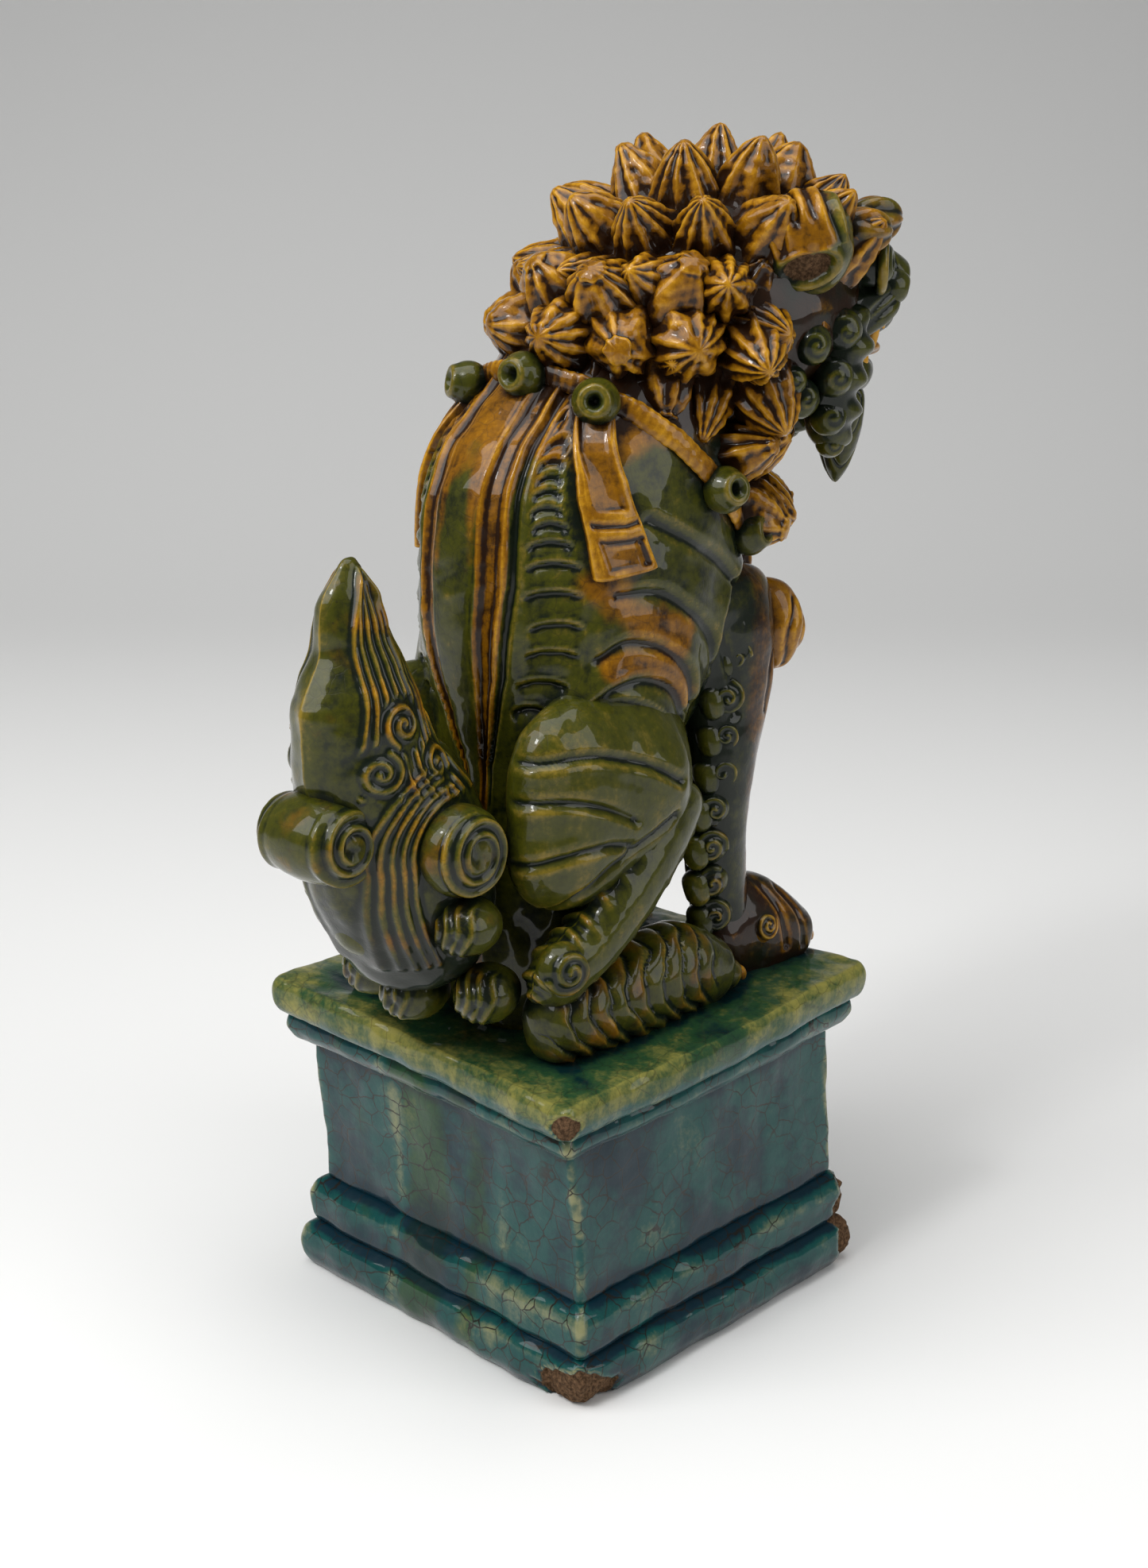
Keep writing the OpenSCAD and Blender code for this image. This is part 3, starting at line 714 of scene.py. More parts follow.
def plinth_ring(profile, w, l, corner, around, across):
    """One moulding of the plinth with its chips and the runs of green glaze down its back."""
    points = ring(profile, w, l, corner, around, across)
    half = SLAB_HIGH - 4
    bare = np.zeros(points.shape[:2])
    chips = [((-half[0], half[1], 4), (19, 17, 9)), ((-half[0], -half[1], 12), (13, 10, 22))]
    for seed, (spot, reach) in enumerate(chips, 1):
        gone = chipped_corner(points, np.array(spot), np.array(reach), seed)
        inward = unit(np.array([0, 0, 20.0]) - points)
        points = points + inward * (gone * (2.6 + 0.7 * uneven(points, 6, seed + 5)))[..., None]
        bare = np.maximum(bare, gone)
    sides = np.abs(points[..., :2])
    near_edge = (sides.max(0, keepdims=True) - sides).sum(-1)
    points = settled(points)
    x, y = points[..., 0], points[..., 1]
    back = step_up(y, 40, 50)
    run = back * (bump(x - 8, 10) + 0.6 * bump(x + 14, 6) + 0.35 * bump(x - 38, 6))
    z = points[..., 2]
    foot, step, wall, cornice = moulding_sizes()[2][:4]
    deep = 0.75 * bump(z - wall - 1, 3.2) + 0.75 * bump(z - step, 2.8)
    deep = deep + 0.35 * (1 - step_up(z, foot, foot + 8)) + 0.45 * bump(z - cornice, 2.2)
    deep = deep - 0.35 * bump(z - step + 3.5, 2.2) - 0.35 * bump(z - wall + 3.5, 2.2)
    worn = bump(near_edge, 2.6) * (0.75 + 0.5 * uneven(points, 9, 5))
    deep = deep - 1.1 * worn + 0.35 * uneven(points, 60, 7)
    deep = deep - 0.55 * back * bump(x - 21, 2.5) - 0.3 * back * bump(x + 24, 3)
    return patch(points, amber=run * 1.1, bare=bare, deep=deep, closed=True, reach=1.2)


def moulding_sizes():
    """Width and length of the slab, and the heights where the plinth's pieces meet."""
    w, l = SLAB_HIGH[:2] - SLAB_LOW[:2]
    heights = [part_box(n)[0][2] / MM for n in ("plinth_foot_moulding", "plinth_step_moulding",
                                              "plinth_wall_back", "plinth_cornice", "plinth_top_slab")]
    return w, l, heights


def plinth_pieces():
    """The plinth: four rings of moulding and wall, hollow inside."""
    w, l, (foot, step, wall, cornice, slab) = moulding_sizes()
    inner = -19.0
    rings = {
        "plinth_foot": ("plinth_foot_moulding", [
            [inner, foot], [-5, foot], [-2.8, foot + 4], [-2.2, foot + 9], [-3.2, step - 2.5], [-6.5, step],
            [inner, step]], 2.6, 72),
        "plinth_step": ("plinth_step_moulding", [
            [inner, step - 0.5], [-6.5, step - 0.5], [-5.2, step + 2], [-5.0, wall - 5], [-6.5, wall - 1.5],
            [-9.2, wall + 0.5], [inner, wall + 0.5]], 2.2, 72),
        "plinth_cornice": ("plinth_cornice", [
            [inner, cornice - 0.5], [-9.3, cornice - 0.5], [-5.4, cornice + 1.2], [-3.3, cornice + 4.5],
            [-4.2, slab - 1], [-6, slab + 0.5], [inner, slab + 0.5]], 2.2, 60),
    }
    for name, (node, profile, corner, across) in rings.items():
        build(name, [plinth_ring(profile, w, l, corner, 400, across)], [node], "plinth_glaze", lion=False)
    low, high = wall - 1.0, cornice + 1.0
    wall_profile = [[inner, low], [-9.6, low], [-9.8, (wall + cornice) / 2], [-9.6, high], [inner, high]]
    walls = ["plinth_wall_" + side for side in ("front", "back", "left", "right")]
    build("plinth_walls", [plinth_ring(wall_profile, w, l, 1.8, 420, 84)], walls, "plinth_glaze", lion=False)


def plinth_slab():
    """The slab: a rounded rectangle shrunk to a point above and below, with a rounded rim between."""
    w, l, heights = moulding_sizes()
    low, high = heights[-1], SLAB_HIGH[2]
    base, out = rectangle(w - 3, l - 3, 3.0, 400)
    middle = (low + high) / 2
    thick = (high - low) / 2
    top, side, under = 63, 26, 11
    rim = np.linspace(0, math.pi, side)
    across = np.concatenate([np.linspace(0, 0.975, top + 1)[:-1] ** 0.8, np.full(side, 0.982),
                             np.linspace(0.975, 0, under + 1)[1:]])
    reach = np.concatenate([np.zeros(top), 2.4 * np.sin(rim), np.zeros(under)])
    height = np.concatenate([np.full(top, high), middle + thick * np.cos(rim), np.full(under, low)])
    flat = base[None] * across[:, None, None] + out[None] * reach[:, None, None]
    points = np.concatenate([flat, np.broadcast_to(height[:, None, None], flat.shape[:2] + (1,))], -1)
    sway = 0.35 * uneven(points, 38, 8) + 0.12 * uneven(points, 11, 9)
    points[..., 2] += sway * step_up(across, 0.05, 0.3)[:, None]
    points = settled(points)
    spot = np.array([SLAB_LOW[0] + 4.0, SLAB_HIGH[1] + 5.0, middle - 1])
    chip = chipped_corner(points, spot, np.array([7, 6, 5]), 6)
    points = points - unit(points * [1, 1, 0]) * (1.4 * chip)[..., None]
    side = 1 - step_up(points[..., 2], middle - 4, middle + 2)
    x, y = points[..., 0], points[..., 1]
    rim = np.minimum(SLAB_HIGH[0] - np.abs(x), SLAB_HIGH[1] - np.abs(y))
    deep = 0.35 * uneven(points, 30, 12) - 0.4 * (1 - step_up(rim, 1, 15)) * (1 - side) - 0.05
    slab = patch(points, amber=0.75 * side, bare=chip, deep=deep, reach=1.2)
    build("plinth_slab", [slab], ["plinth_top_slab"], "slab_glaze", lion=False)


# ------------------------------------------------------------------ torso

# Height, middle, half-width and half-depth of the torso's sections.
TORSO = np.array([
    [0, 24, 26, 21], [20, 20, 30, 25], [48, 14, 34, 29], [75, 8, 37, 34], [90, 5, 39, 39], [108, 1, 41, 47],
    [124, -2, 42, 52], [146, -5, 42, 53.5], [160, -8, 41, 54], [172, -13, 39.5, 52], [182, -20, 37, 48],
    [190, -26, 36, 45], [200, -32, 34, 42], [206, -34, 30, 38]], float)
DEGREE = 0.8  # millimetres round the torso for each degree

# Places on the torso are [degrees from the spine, height].
NOTCH_HEIGHTS = [179, 173, 168, 164, 160, 155.5, 151, 146, 140, 132, 123, 115, 106, 98]
NOTCH_INNER = [27, 29, 29, 30, 30, 30, 31, 30, 30, 30, 32, 30, 26, 23]
NOTCH_OUTER = [31, 37, 38, 39, 40, 41, 43, 45, 48, 49, 50, 49, 45, 38]
FLANK_GROOVES = [
    [(71, 152), (91, 143), (110, 134), (122, 124), (127, 112)],
    [(62, 132), (77, 131), (93, 123), (108, 114), (116, 104)],
    [(56, 114), (66, 118), (80, 115), (96, 106), (108, 94)],
    [(50, 99), (62, 105), (75, 106), (91, 101), (104, 92)],
]
CHEST_GROOVES = [[(128 + 11 * k, 150 - 4 * k), (132 + 11 * k, 132 - 3 * k), (128 + 11 * k, 112 - 2 * k)]
                 for k in range(4)]
# Streaks of amber: the points of each, how far it reaches, its strength and its width.
AMBER_STREAKS = [
    ([(56, 134), (70, 124), (78, 122), (90, 118)], 16, 0.65, 6),
    ([(60, 112), (76, 111), (90, 106), (102, 98)], 12, 0.6, 4.5),
    ([(150, 160), (140, 140), (134, 118)], 16, 0.8, 8),
]
COLLAR = np.array([(0, 192), (30, 188), (56, 181), (76, 173), (90, 165), (102, 157), (114, 149), (140, 135),
                   (165, 126), (180, 123)], float)


def torso_sections(z):
    """Middle, half-width and half-depth of the torso at each height, by a spline through its sections."""
    steps = np.interp(z, TORSO[:, 0], np.arange(len(TORSO)))
    return spline(TORSO[:, 1:], np.ravel(steps)).T.reshape(3, *np.shape(z))


def on_torso(degrees, z, lift=0.0):
    """The point of the torso at an angle from the spine towards its right side, at a height.

    It is the middle plus half-width times the sine and half-depth times the cosine, moved out by lift.
    """
    degrees, z, lift = np.broadcast_arrays(degrees, z, lift)
    middle, a, b = torso_sections(z)
    turn = np.radians(degrees)
    out = unit(np.stack([-np.sin(turn) / a, np.cos(turn) / b, 0 * turn], -1))
    return np.stack([-a * np.sin(turn), middle + b * np.cos(turn), z], -1) + out * lift[..., None]


def torso_relief(degrees, z):
    """Height and amber share of what is cut in the torso, the same on both sides of the spine."""
    deep = settings("carving").groove_depth / MM
    a = np.abs(degrees)
    narrow = np.interp(z, [80, 108, 135, 190], [0.35, 0.8, 1, 0.95])
    b = a / narrow
    height = 1.3 * (1 - step_up(b, 8.5, 12)) + 1.0 * bump(b - 11.2, 1.3) + 1.1 * bump(b - 21.5, 1.3)
    height = height - 0.7 * step_up(b, 11, 13) * (1 - step_up(b, 18, 20)) - 1.3 * deep * bump(b - 25, 1.7)
    height = height * step_up(z, 66, 84)
    s, t = a * DEGREE, z
    for low, inner, outer in zip(NOTCH_HEIGHTS, NOTCH_INNER, NOTCH_OUTER):
        f = (a - inner) / (outer - inner)
        window = step_up(f, -0.08, 0.12) * (1 - step_up(f, 0.85, 1.08))
        off = z - low - 1.5 * np.sin(np.clip(f, 0, 1) * math.pi)
        cut = np.where(off > 0, bump(off, 0.75), np.exp(-np.abs(off) / 2.0))
        lip = 0.35 * bump(off - 1.9, 0.8)
        height = height + window * (lip - 1.35 * deep * cut)
    flank = [np.array(g) * [DEGREE, 1] for g in FLANK_GROOVES + CHEST_GROOVES]
    height = height + scratch(s, t, flank, 1.5, -1.1 * deep)
    height = height + scratch(s, t, [g + [0.4, 2.6] for g in flank], 1.9, 0.35 * deep)
    swell = 0
    for g in flank[:4]:
        swell = swell + bump(near_line(s, t, g + [1.5, 6.5], 16), 5.5)
    height = height + 1.3 * swell
    amber = 0.12 + 0.8 * step_up(z, 150, 188) + 0.95 * step_up(b, 10, 12) * (1 - step_up(b, 21.5, 23.5))
    for streak, reach, strength, width in AMBER_STREAKS:
        amber = amber + strength * bump(near_line(s, t, np.array(streak) * [DEGREE, 1], reach), width)
    amber = amber + 0.55 * bump(b - 8, 3) * step_up(z, 120, 170)
    amber = amber - 0.5 * step_up(z, 180, 160) * bump(a - 90, 25) * step_up(z, 136, 150)
    return height, amber


def torso_piece():
    """Both halves of the torso as one skin, with its spine, ladder of notches and flank ribs."""
    low, high = TORSO[0, 0], TORSO[-1, 0]
    around, rows, cap = 360, 210, 8
    levels = np.concatenate([[low] * cap, np.linspace(low, high, rows), [high] * cap])
    z, degrees = np.meshgrid(levels, np.linspace(-180, 180, around, endpoint=False), indexing="ij")
    closing = np.linspace(0, 1, cap + 1)
    shrink = np.concatenate([closing[:-1], np.ones(rows), closing[::-1][1:]])[:, None, None]
    points = on_torso(degrees, z)
    hub = points.mean(1, keepdims=True)
    points = hub + (points - hub) * shrink
    height, amber = torso_relief(degrees, z)
    height = height + 0.35 * uneven(points, 30, 11)
    height[:cap + 1] = 0
    height[-cap - 1:] = 0
    height = height + meeting(points, ("haunch", "shoulder", "tail"), 9.0)
    skin = patch(raised(points, height), amber=amber, deep=0.12, reach=0.9)
    build("torso", [skin], ["torso_half_left", "torso_half_right"], "body_glaze")


# ------------------------------------------------------------------ forms that pieces grow out of

# Eggs that stand for the big forms, as x, y, z and three half-sizes, on the lion's right side.
FORMS = {
    "haunch": [(-32, 40, 66, 15, 24, 30), (-34, 22, 78, 14, 26, 26), (-38, 6, 72, 10, 14, 20)],
    "shoulder": [(-31, -34, 112, 12, 19, 22), (-32, -34, 90, 11, 15, 20)],
    "tail": [(0, 74, 62, 24, 28, 22), (0, 68, 40, 22, 22, 14), (0, 84, 92, 16, 18, 22)],
    "torso": [(0, 16, 48, 34, 29, 40), (0, 4, 92, 39, 40, 40), (0, -3, 124, 42, 52, 34),
              (0, -7, 156, 41, 54, 26)],
}


def gap(points, form):
    """Rough distance from the points to a form: for each egg, the scaled radius less one, times the
    egg's mean half-size, and the least of these."""
    eggs = list(FORMS[form])
    if form in ("haunch", "shoulder"):
        eggs += [(-x, *rest) for x, *rest in eggs]
    least = np.full(points.shape[:-1], 1e3)
    for x, y, z, a, b, c in eggs:
        q = np.linalg.norm((points - [x, y, z]) / [a, b, c], axis=-1)
        least = np.minimum(least, (q - 1) * (a * b * c) ** (1 / 3))
    return least


def meeting(points, forms, reach):
    """How far to swell a surface so that it flows into its neighbours: (reach - |gap|)^2 / (4 reach)."""
    height = np.zeros(points.shape[:-1])
    for form in forms:
        near = np.maximum(reach - np.abs(gap(points, form)), 0)
        height = np.maximum(height, near ** 2 / (4 * reach))
    return height


# ------------------------------------------------------------------ legs

SIDE_PLANE = ((0, 1, 0), (0, 0, 1), (-1, 0, 0))
THIGH = [(0, 31), (20, 33), (45, 37), (70, 36), (95, 33), (120, 35), (150, 38), (172, 37),
         (195, 36), (220, 33), (245, 30), (270, 29), (295, 31), (320, 34), (345, 33)]
THIGH_MIDDLE = (-31, 27, 70)
THIGH_GROOVES = [
    [(56, 90), (44, 91), (32, 88.5), (20, 84), (8, 77)],
    [(64, 78), (52, 79), (40, 76), (27, 69.5)],
    [(64, 59), (57, 61), (50, 63), (38, 64), (28, 62)],
    [(10, 67), (20, 63), (32, 58), (42, 50), (50, 42)],
]
SHANK = [(-38, -3, 74, 8, 10), (-40, 2, 66, 9, 11.5), (-41, 13, 55, 9.5, 11), (-41, 25, 44, 9.5, 10.5),
         (-40, 37, 34, 9, 9.5), (-38.5, 48, 27, 8.5, 9.5), (-37, 54, 18, 8, 9)]
HIND_FOOT = [(-36, 57, 11, 7, 8), (-36.5, 51, 11, 9.5, 11), (-37, 41, 11, 11, 12), (-37.5, 26, 11, 11.5, 13),
             (-38, 10, 12, 12, 15), (-38, -4, 12, 12.5, 14.5), (-38, -15, 9, 12.5, 12), (-38, -24, 6, 12, 9)]
FRONT_LEG = [(-33, -36, 10, 9.5, 10.5), (-33, -33, 22, 9, 10), (-33, -30, 38, 9, 10.5),
             (-33, -29.5, 54, 9.5, 11), (-33, -31, 68, 10, 12), (-32, -34, 82, 10.5, 15),
             (-31, -37, 97, 11.5, 18), (-29, -36, 113, 13, 20), (-25, -32, 128, 14, 20)]
FRONT_FOOT = [(-33, -24, 8, 8, 9), (-33, -32, 12, 10.5, 14), (-33, -42, 13, 12, 18),
              (-33.5, -51, 11, 13.5, 16), (-34, -60, 8, 14, 11.5), (-34, -67, 5.5, 13, 8)]
FRINGE = [(-29, 105), (-25, 93), (-24.5, 81.5), (-23.5, 70),
          (-20, 59), (-18.5, 47.5), (-19.5, 35.5), (-21.5, 24)]


def grounded(points):
    """Points no lower than the slab, with a flat sole that sinks into its glaze."""
    points = points.copy()
    points[..., 2] = np.maximum(points[..., 2], -0.4)
    return points


def thigh_patch():
    """The thigh: a pebble on its outline, with curved grooves that show a lit lip below each."""
    deep = settings("carving").groove_depth / MM
    points = pebble(THIGH, THIGH_MIDDLE, (14, 17), 110, 210, SIDE_PLANE, 0.9)
    y, z = points[..., 1], points[..., 2]
    points[..., 0] -= 4.5 * bump(y - 4, 18) * bump(z - 76, 26) * step_up(-points[..., 0], 20, 34)
    outer = step_up(-points[..., 0], 26, 34)
    lips = [np.array(groove) - [0, 2.6] for groove in THIGH_GROOVES[:3]]
    height = scratch(y, z, THIGH_GROOVES, 1.5, -1.15 * deep) * outer
    height = height + scratch(y, z, lips, 2.2, 0.3 * deep) * outer
    height = height + meeting(points, ("torso", "tail"), 7.0) + 0.25 * uneven(points, 24, 21)
    amber = 0.05 + 0.25 * bump(z - 97, 8) * step_up(y, 20, 50)
    return patch(raised(points, height), amber=amber, deep=-0.18, reach=0.9)


def furred(grid, tufts, depth, inner, outer, slope):
    """Height of short slanted locks down both edges of a limb, with a smooth strip between.

    The first grid direction runs along the limb. Each lock is a wave of the distance along it plus
    slope times the distance from the strip, sharpened to narrow ridges.
    """
    rows, columns = grid.shape[:2]
    along = np.linspace(0, 1, rows)[:, None]
    turn = (np.arange(columns) * TAU / columns)[None]
    across = np.abs(np.arcsin(np.sin(turn))) / (math.pi / 2)
    wave = 0.5 + 0.5 * np.cos(TAU * (along * tufts + slope * across))
    window = step_up(across, inner, inner + 0.12) * (1 - step_up(across, outer - 0.1, outer + 0.05))
    side = step_up(np.cos(turn), -0.9, -0.3) if slope else 1.0
    return depth * window * side * (wave ** 2.2 - 0.35)


def shank_patch():
    """The lower hind leg with a fringe of slanted locks down each edge."""
    points = tube(SHANK, 110, 100, ends=0.8)
    height = furred(points, 12, 1.5, 0.28, 1.05, 0.5)
    points = raised(points, height)
    return patch(points, amber=0.15 + 0.25 * step_up(height, 0.1, 0.8), reach=0.7)


def curl_disc(middle, radius, thick, out, turns=2.1, start=0.0, hand=1):
    """A button with a curl pressed in its face: an egg, raised along a spiral line."""
    out = unit(np.asarray(out, float))
    flat = unit(np.cross([0, 0, 1.0], out))
    up = np.cross(out, flat)
    points = egg(middle, (radius, radius, thick), 32, 64, (flat, up, out))
    local = points - np.asarray(middle, float)
    s, t = local @ flat, local @ up
    lines = [spiral((0, 0), radius * 0.86, turns, start, hand)]
    face = step_up(local @ out, 0.0, 0.5 * thick)
    width = radius * 0.105
    height = scratch(s, t, lines, width, radius * 0.14) * face - 0.05 * radius * face
    return patch(raised(points, height), amber=0.3, deep=0.15, reach=0.6)


def hind_leg(side):
    """Thigh, shank and the curl on the heel."""
    heel = curl_disc((-42, 51, 30), 8.0, 6.0, (-1, 0.35, 0.1), start=200, turns=1.9)
    patches = [thigh_patch(), shank_patch(), heel]
    build_side("hind_leg", side, patches, "hind_leg", "limb_glaze")


def toe_patches(middle, reach, spread, radius, amber):
    """Four toes fanned from the ball of the paw, each a bent tube that ends in a pointed claw."""
    patches = []
    for k in (-1.5, -0.5, 0.5, 1.5):
        turn = math.radians(k * spread)
        ahead = np.array([math.sin(turn), -math.cos(turn), 0])
        base = np.array(middle, float)
        length = reach * (1 - 0.07 * abs(k))
        rows = [
            (*(base + ahead * length * 0.25), radius * 0.8, radius * 0.9),
            (*(base + ahead * length * 0.55 + [0, 0, 0.25 * radius]), radius, radius * 1.15),
            (*(base + ahead * length * 0.8 + [0, 0, -0.1 * radius]), radius * 0.95, radius * 1.0),
            (*(base + ahead * length * 0.98 + [0, 0, -0.5 * radius]), radius * 0.75, radius * 0.7),
        ]
        toe = grounded(tube(rows, 30, 30, side=(ahead[1], -ahead[0], 0), ends=0.7))
        patches.append(patch(toe, amber=amber, reach=0.7))
        claw = [
            (*(base + ahead * length * 0.86 + [0, 0, 0.1 * radius]), radius * 0.34, radius * 0.4),
            (*(base + ahead * length * 1.02 + [0, 0, -0.05 * radius]), radius * 0.36, radius * 0.4),
            (*(base + ahead * length * 1.13 + [0, 0, -0.55 * radius]), radius * 0.2, radius * 0.24),
        ]
        claw = grounded(tube(claw, 24, 20, side=(ahead[1], -ahead[0], 0), ends=0.6))
        patches.append(patch(claw, amber=1.0))
    return patches


def hind_paw(side):
    """The hind foot: a low tube with locks of fur that overlap round its outer side, and four toes."""
    points = tube(HIND_FOOT, 150, 96, ends=0.8, flat=0.9)
    y, z = points[..., 1], points[..., 2]
    lean = y - 0.5 * z + 0.06 * (z - 11) ** 2 + 1.2 * uneven(points, 18, 26)
    step = lean / 7.4 - np.floor(lean / 7.4)
    wave = np.sqrt(np.minimum(step / 0.25, 1)) * np.maximum(1 - step ** 3, 0)
    outer = step_up(-points[..., 0], 34, 40) + 0.7 * step_up(z, 18, 24)
    window = np.clip(outer, 0, 1) * step_up(y, -12, -4) * (1 - step_up(y, 50, 60))
    height = 2.0 * window * (wave - 0.6)
    points = grounded(raised(points, height))
    patches = [patch(points, amber=0.2 + 0.25 * window * wave, deep=0.15, reach=0.7)]
    patches += toe_patches((-38, -8, 6.5), 22, 15, 5.6, 0.3)
    build_side("hind_paw", side, patches, "hind_paw", "limb_glaze")


def front_leg(side):
    """The straight front leg, which widens to the shoulder."""
    points = tube(FRONT_LEG, 120, 90, ends=0.7)
    y, z = points[..., 1], points[..., 2]
    height = meeting(points, ("torso",), 7.0) * step_up(z, 80, 110) + 0.2 * uneven(points, 26, 31)
    creases = [[(-52, 108), (-46, 98), (-44, 86)], [(-22, 112), (-27, 100), (-28, 88)]]
    height = height + scratch(y, z, creases, 1.5, -1.2)
    points = raised(points, height)
    front = step_up(-points[..., 1], 28, 40)
    amber = 0.15 + 0.65 * front * (1 - 0.4 * step_up(z, 100, 120))
    build_side("front_leg", side, [patch(points, amber=amber, deep=0.35)], "front_leg", "limb_glaze")


def front_paw(side):
    """The front foot: a wedge that falls from the ankle, with four toes and a curl on its side."""
    points = grounded(tube(FRONT_FOOT, 90, 110, ends=0.8, flat=0.9))
    y, z = points[..., 1], points[..., 2]
    creases = [[(-44, 30), (-48, 20), (-50, 8)], [(-52, 26), (-57, 16), (-58, 6)]]
    height = scratch(y, z, creases, 1.2, -1.0) * step_up(-points[..., 0], 36, 42)
    patches = [patch(raised(points, height), amber=0.6, deep=0.6)]
    patches.append(curl_disc((-42, -42, 16), 6.0, 4.5, (-1, 0.1, 0.3), start=90, hand=-1))
    patches[-1]["amber"] = np.full(patches[-1]["amber"].shape, 0.6)
    patches += toe_patches((-34, -48, 6.5), 23, 15, 5.8, 0.85)
    build_side("front_paw", side, patches, "front_paw", "amber_glaze")


def front_fringe(side):
    """Curls of fur in a row down the back of the front leg."""
    patches = []
    for k, (y, z) in enumerate(FRINGE):
        turns, hand = 1.3 + 0.25 * (k % 3), -1 if k % 3 == 1 else 1
        middle, radius = (-37.0, y - 2.5, z), 6.0 + 0.5 * (k % 2)
        patches.append(curl_disc(middle, radius, 4.8, (-1, 0.75, 0), turns, 70 * k, hand))
        lock = [(-36, y + 1, z - 8, 2.5, 2.5), (-36, y + 1.5, z - 4, 4, 4), (-35, y + 1, z, 4.5, 5),
                (-34, y, z + 4, 4, 4)]
        patches.append(patch(tube(lock, 18, 20, ends=0.9), amber=0.2))
    build_side("front_fringe", side, patches, "front_leg_fringe", "limb_glaze")


# ------------------------------------------------------------------ tail

# x, y, z, half-width and half-depth up the flame.
FLAME = [(0, 60, 22, 19, 15), (0, 66, 34, 23, 21), (0, 70, 48, 25, 26), (0, 74, 62, 25, 28),
         (0, 79, 76, 23, 26), (0, 84.5, 88, 20, 21.5), (0, 88, 100, 17.5, 19.5), (0, 88.5, 112, 15, 16.5),
         (0, 89, 123, 11, 11.5), (0, 90.5, 135, 7, 7.5), (0, 88.5, 145, 3, 3.5), (0, 87.5, 148, 1.5, 1.8)]
# The rear and front lines combed down each face of the flame, as [y, z]; seven more lie between.
COMB_REAR = np.array([(88.2, 146.5), (94, 133), (95.5, 122), (96.5, 112), (98.5, 102), (100, 93), (99.5, 86)])
COMB_FRONT = np.array([(86.6, 145), (80.5, 127), (75, 116), (71.5, 106), (70.5, 98), (67.5, 90), (62, 82)])
# Curls on the flame's faces: middle, radius, turns, start in degrees, hand.
CURLS = [
    ((86.5, 104.5), 6.2, 1.6, 300, 1),
    ((95.0, 92.5), 6.2, 1.6, 120, 1),
    ((75.5, 91.5), 5.0, 1.4, 200, -1),
]
# Rolled ends, as middle, radius and half-width, and the places of the buds.
SCROLLS = [((0, 103.5, 73), 12.8, 14.5), ((-24, 73, 67), 13.6, 8.0), ((24, 73, 67), 13.6, 8.0)]
BUDS = [(-2, 70, 18.5), (-23, 62, 21), (19, 64, 18.5), (-25.5, 72, 45), (25.5, 72, 45)]


def tail_flame():
    """The tail: a tube that narrows to a tip, combed with raised lines that end in curls."""
    points = tube(FLAME, 220, 290, ends=1.0)
    x, y, z = (points[..., k] for k in range(3))
    keel = np.exp(-np.abs(x) / 3.5) * step_up(y, 84, 96) * step_up(z, 78, 92)
    points[..., 1] = y + 1.6 * keel + 0.6 * np.sin(z / 26 * TAU) * step_up(y, 84, 100) * step_up(z, 84, 96)
    combs = [(1 - f) * COMB_REAR + f * COMB_FRONT + [0.8 * math.sin(9 * f), 0] for f in np.linspace(0, 1, 9)]
    height = scratch(y, z, combs, 0.75, 1.0)
    for middle, radius, *_ in CURLS:
        height = height * (1 - step_up(radius + 1.6 - np.hypot(y - middle[0], z - middle[1]), -1.0, 0.8))
    height = height + scratch(y, z, [spiral(*curl) for curl in CURLS], 0.95, 1.2)
    hub = np.array(SCROLLS[1][0][1:])
    for k, radius in enumerate((15.5, 18.0, 20.5, 23.0, 25.5)):
        turn = np.radians(np.linspace(95 - 6 * k, -10, 9))
        arc = hub + radius * np.stack([np.cos(turn), np.sin(turn)], -1)
        line = np.vstack([arc, arc[-1] - [1.0, 10], arc[-1] - [4.5, 20], arc[-1] - [10.0, 30]])
        height = height + scratch(y, z, [line], 0.8, 1.0)
    face = step_up(np.abs(x), 2.0, 4.5) * step_up(z, 28, 34)
    height = height * face
    height = height + meeting(points, ("torso", "haunch"), 6.0) + 0.25 * uneven(points, 22, 41)
    points = raised(points, height)
    amber = 0.22 + 0.2 * step_up(height, 0.2, 0.8)
    worn = bump(np.abs(x), 3.5) * step_up(y, 88, 98) * step_up(z, 88, 112)
    deep = 0.1 + 0.8 * (1 - step_up(z, 30, 58)) - 0.6 * worn
    build("tail_flame", [patch(points, amber=amber, deep=deep, reach=0.7)], ["tail_flame"], "limb_glaze")


def tail_scrolls():
    """The rolled ends of the tail: thick discs about X with a spiral raised on each end face."""
    patches = []
    for middle, radius, half in SCROLLS:
        outline = [(a, radius * (1 + 0.04 * math.sin(math.radians(2 * a + 40)))) for a in range(0, 360, 30)]
        points = pebble(outline, middle, half, 90, 150, SIDE_PLANE, 0.42)
        y, z = points[..., 1] - middle[1], points[..., 2] - middle[2]
        lines = [spiral((0.5, 0.5), radius * 0.94, 3.3, 100, -1)]
        face = step_up(np.abs(points[..., 0] - middle[0]), 0.55 * half, 0.8 * half)
        height = scratch(y, z, lines, 0.85, 1.3) * face
        points = raised(points, height)
        patches.append(patch(points, amber=0.3, reach=0.7))
    lobe = egg((0, 87, 44), (11, 9, 10), 50, 70)
    patches.append(patch(lobe, amber=0.1))
    build("tail_scrolls", patches, ["tail_scrolls"], "limb_glaze")


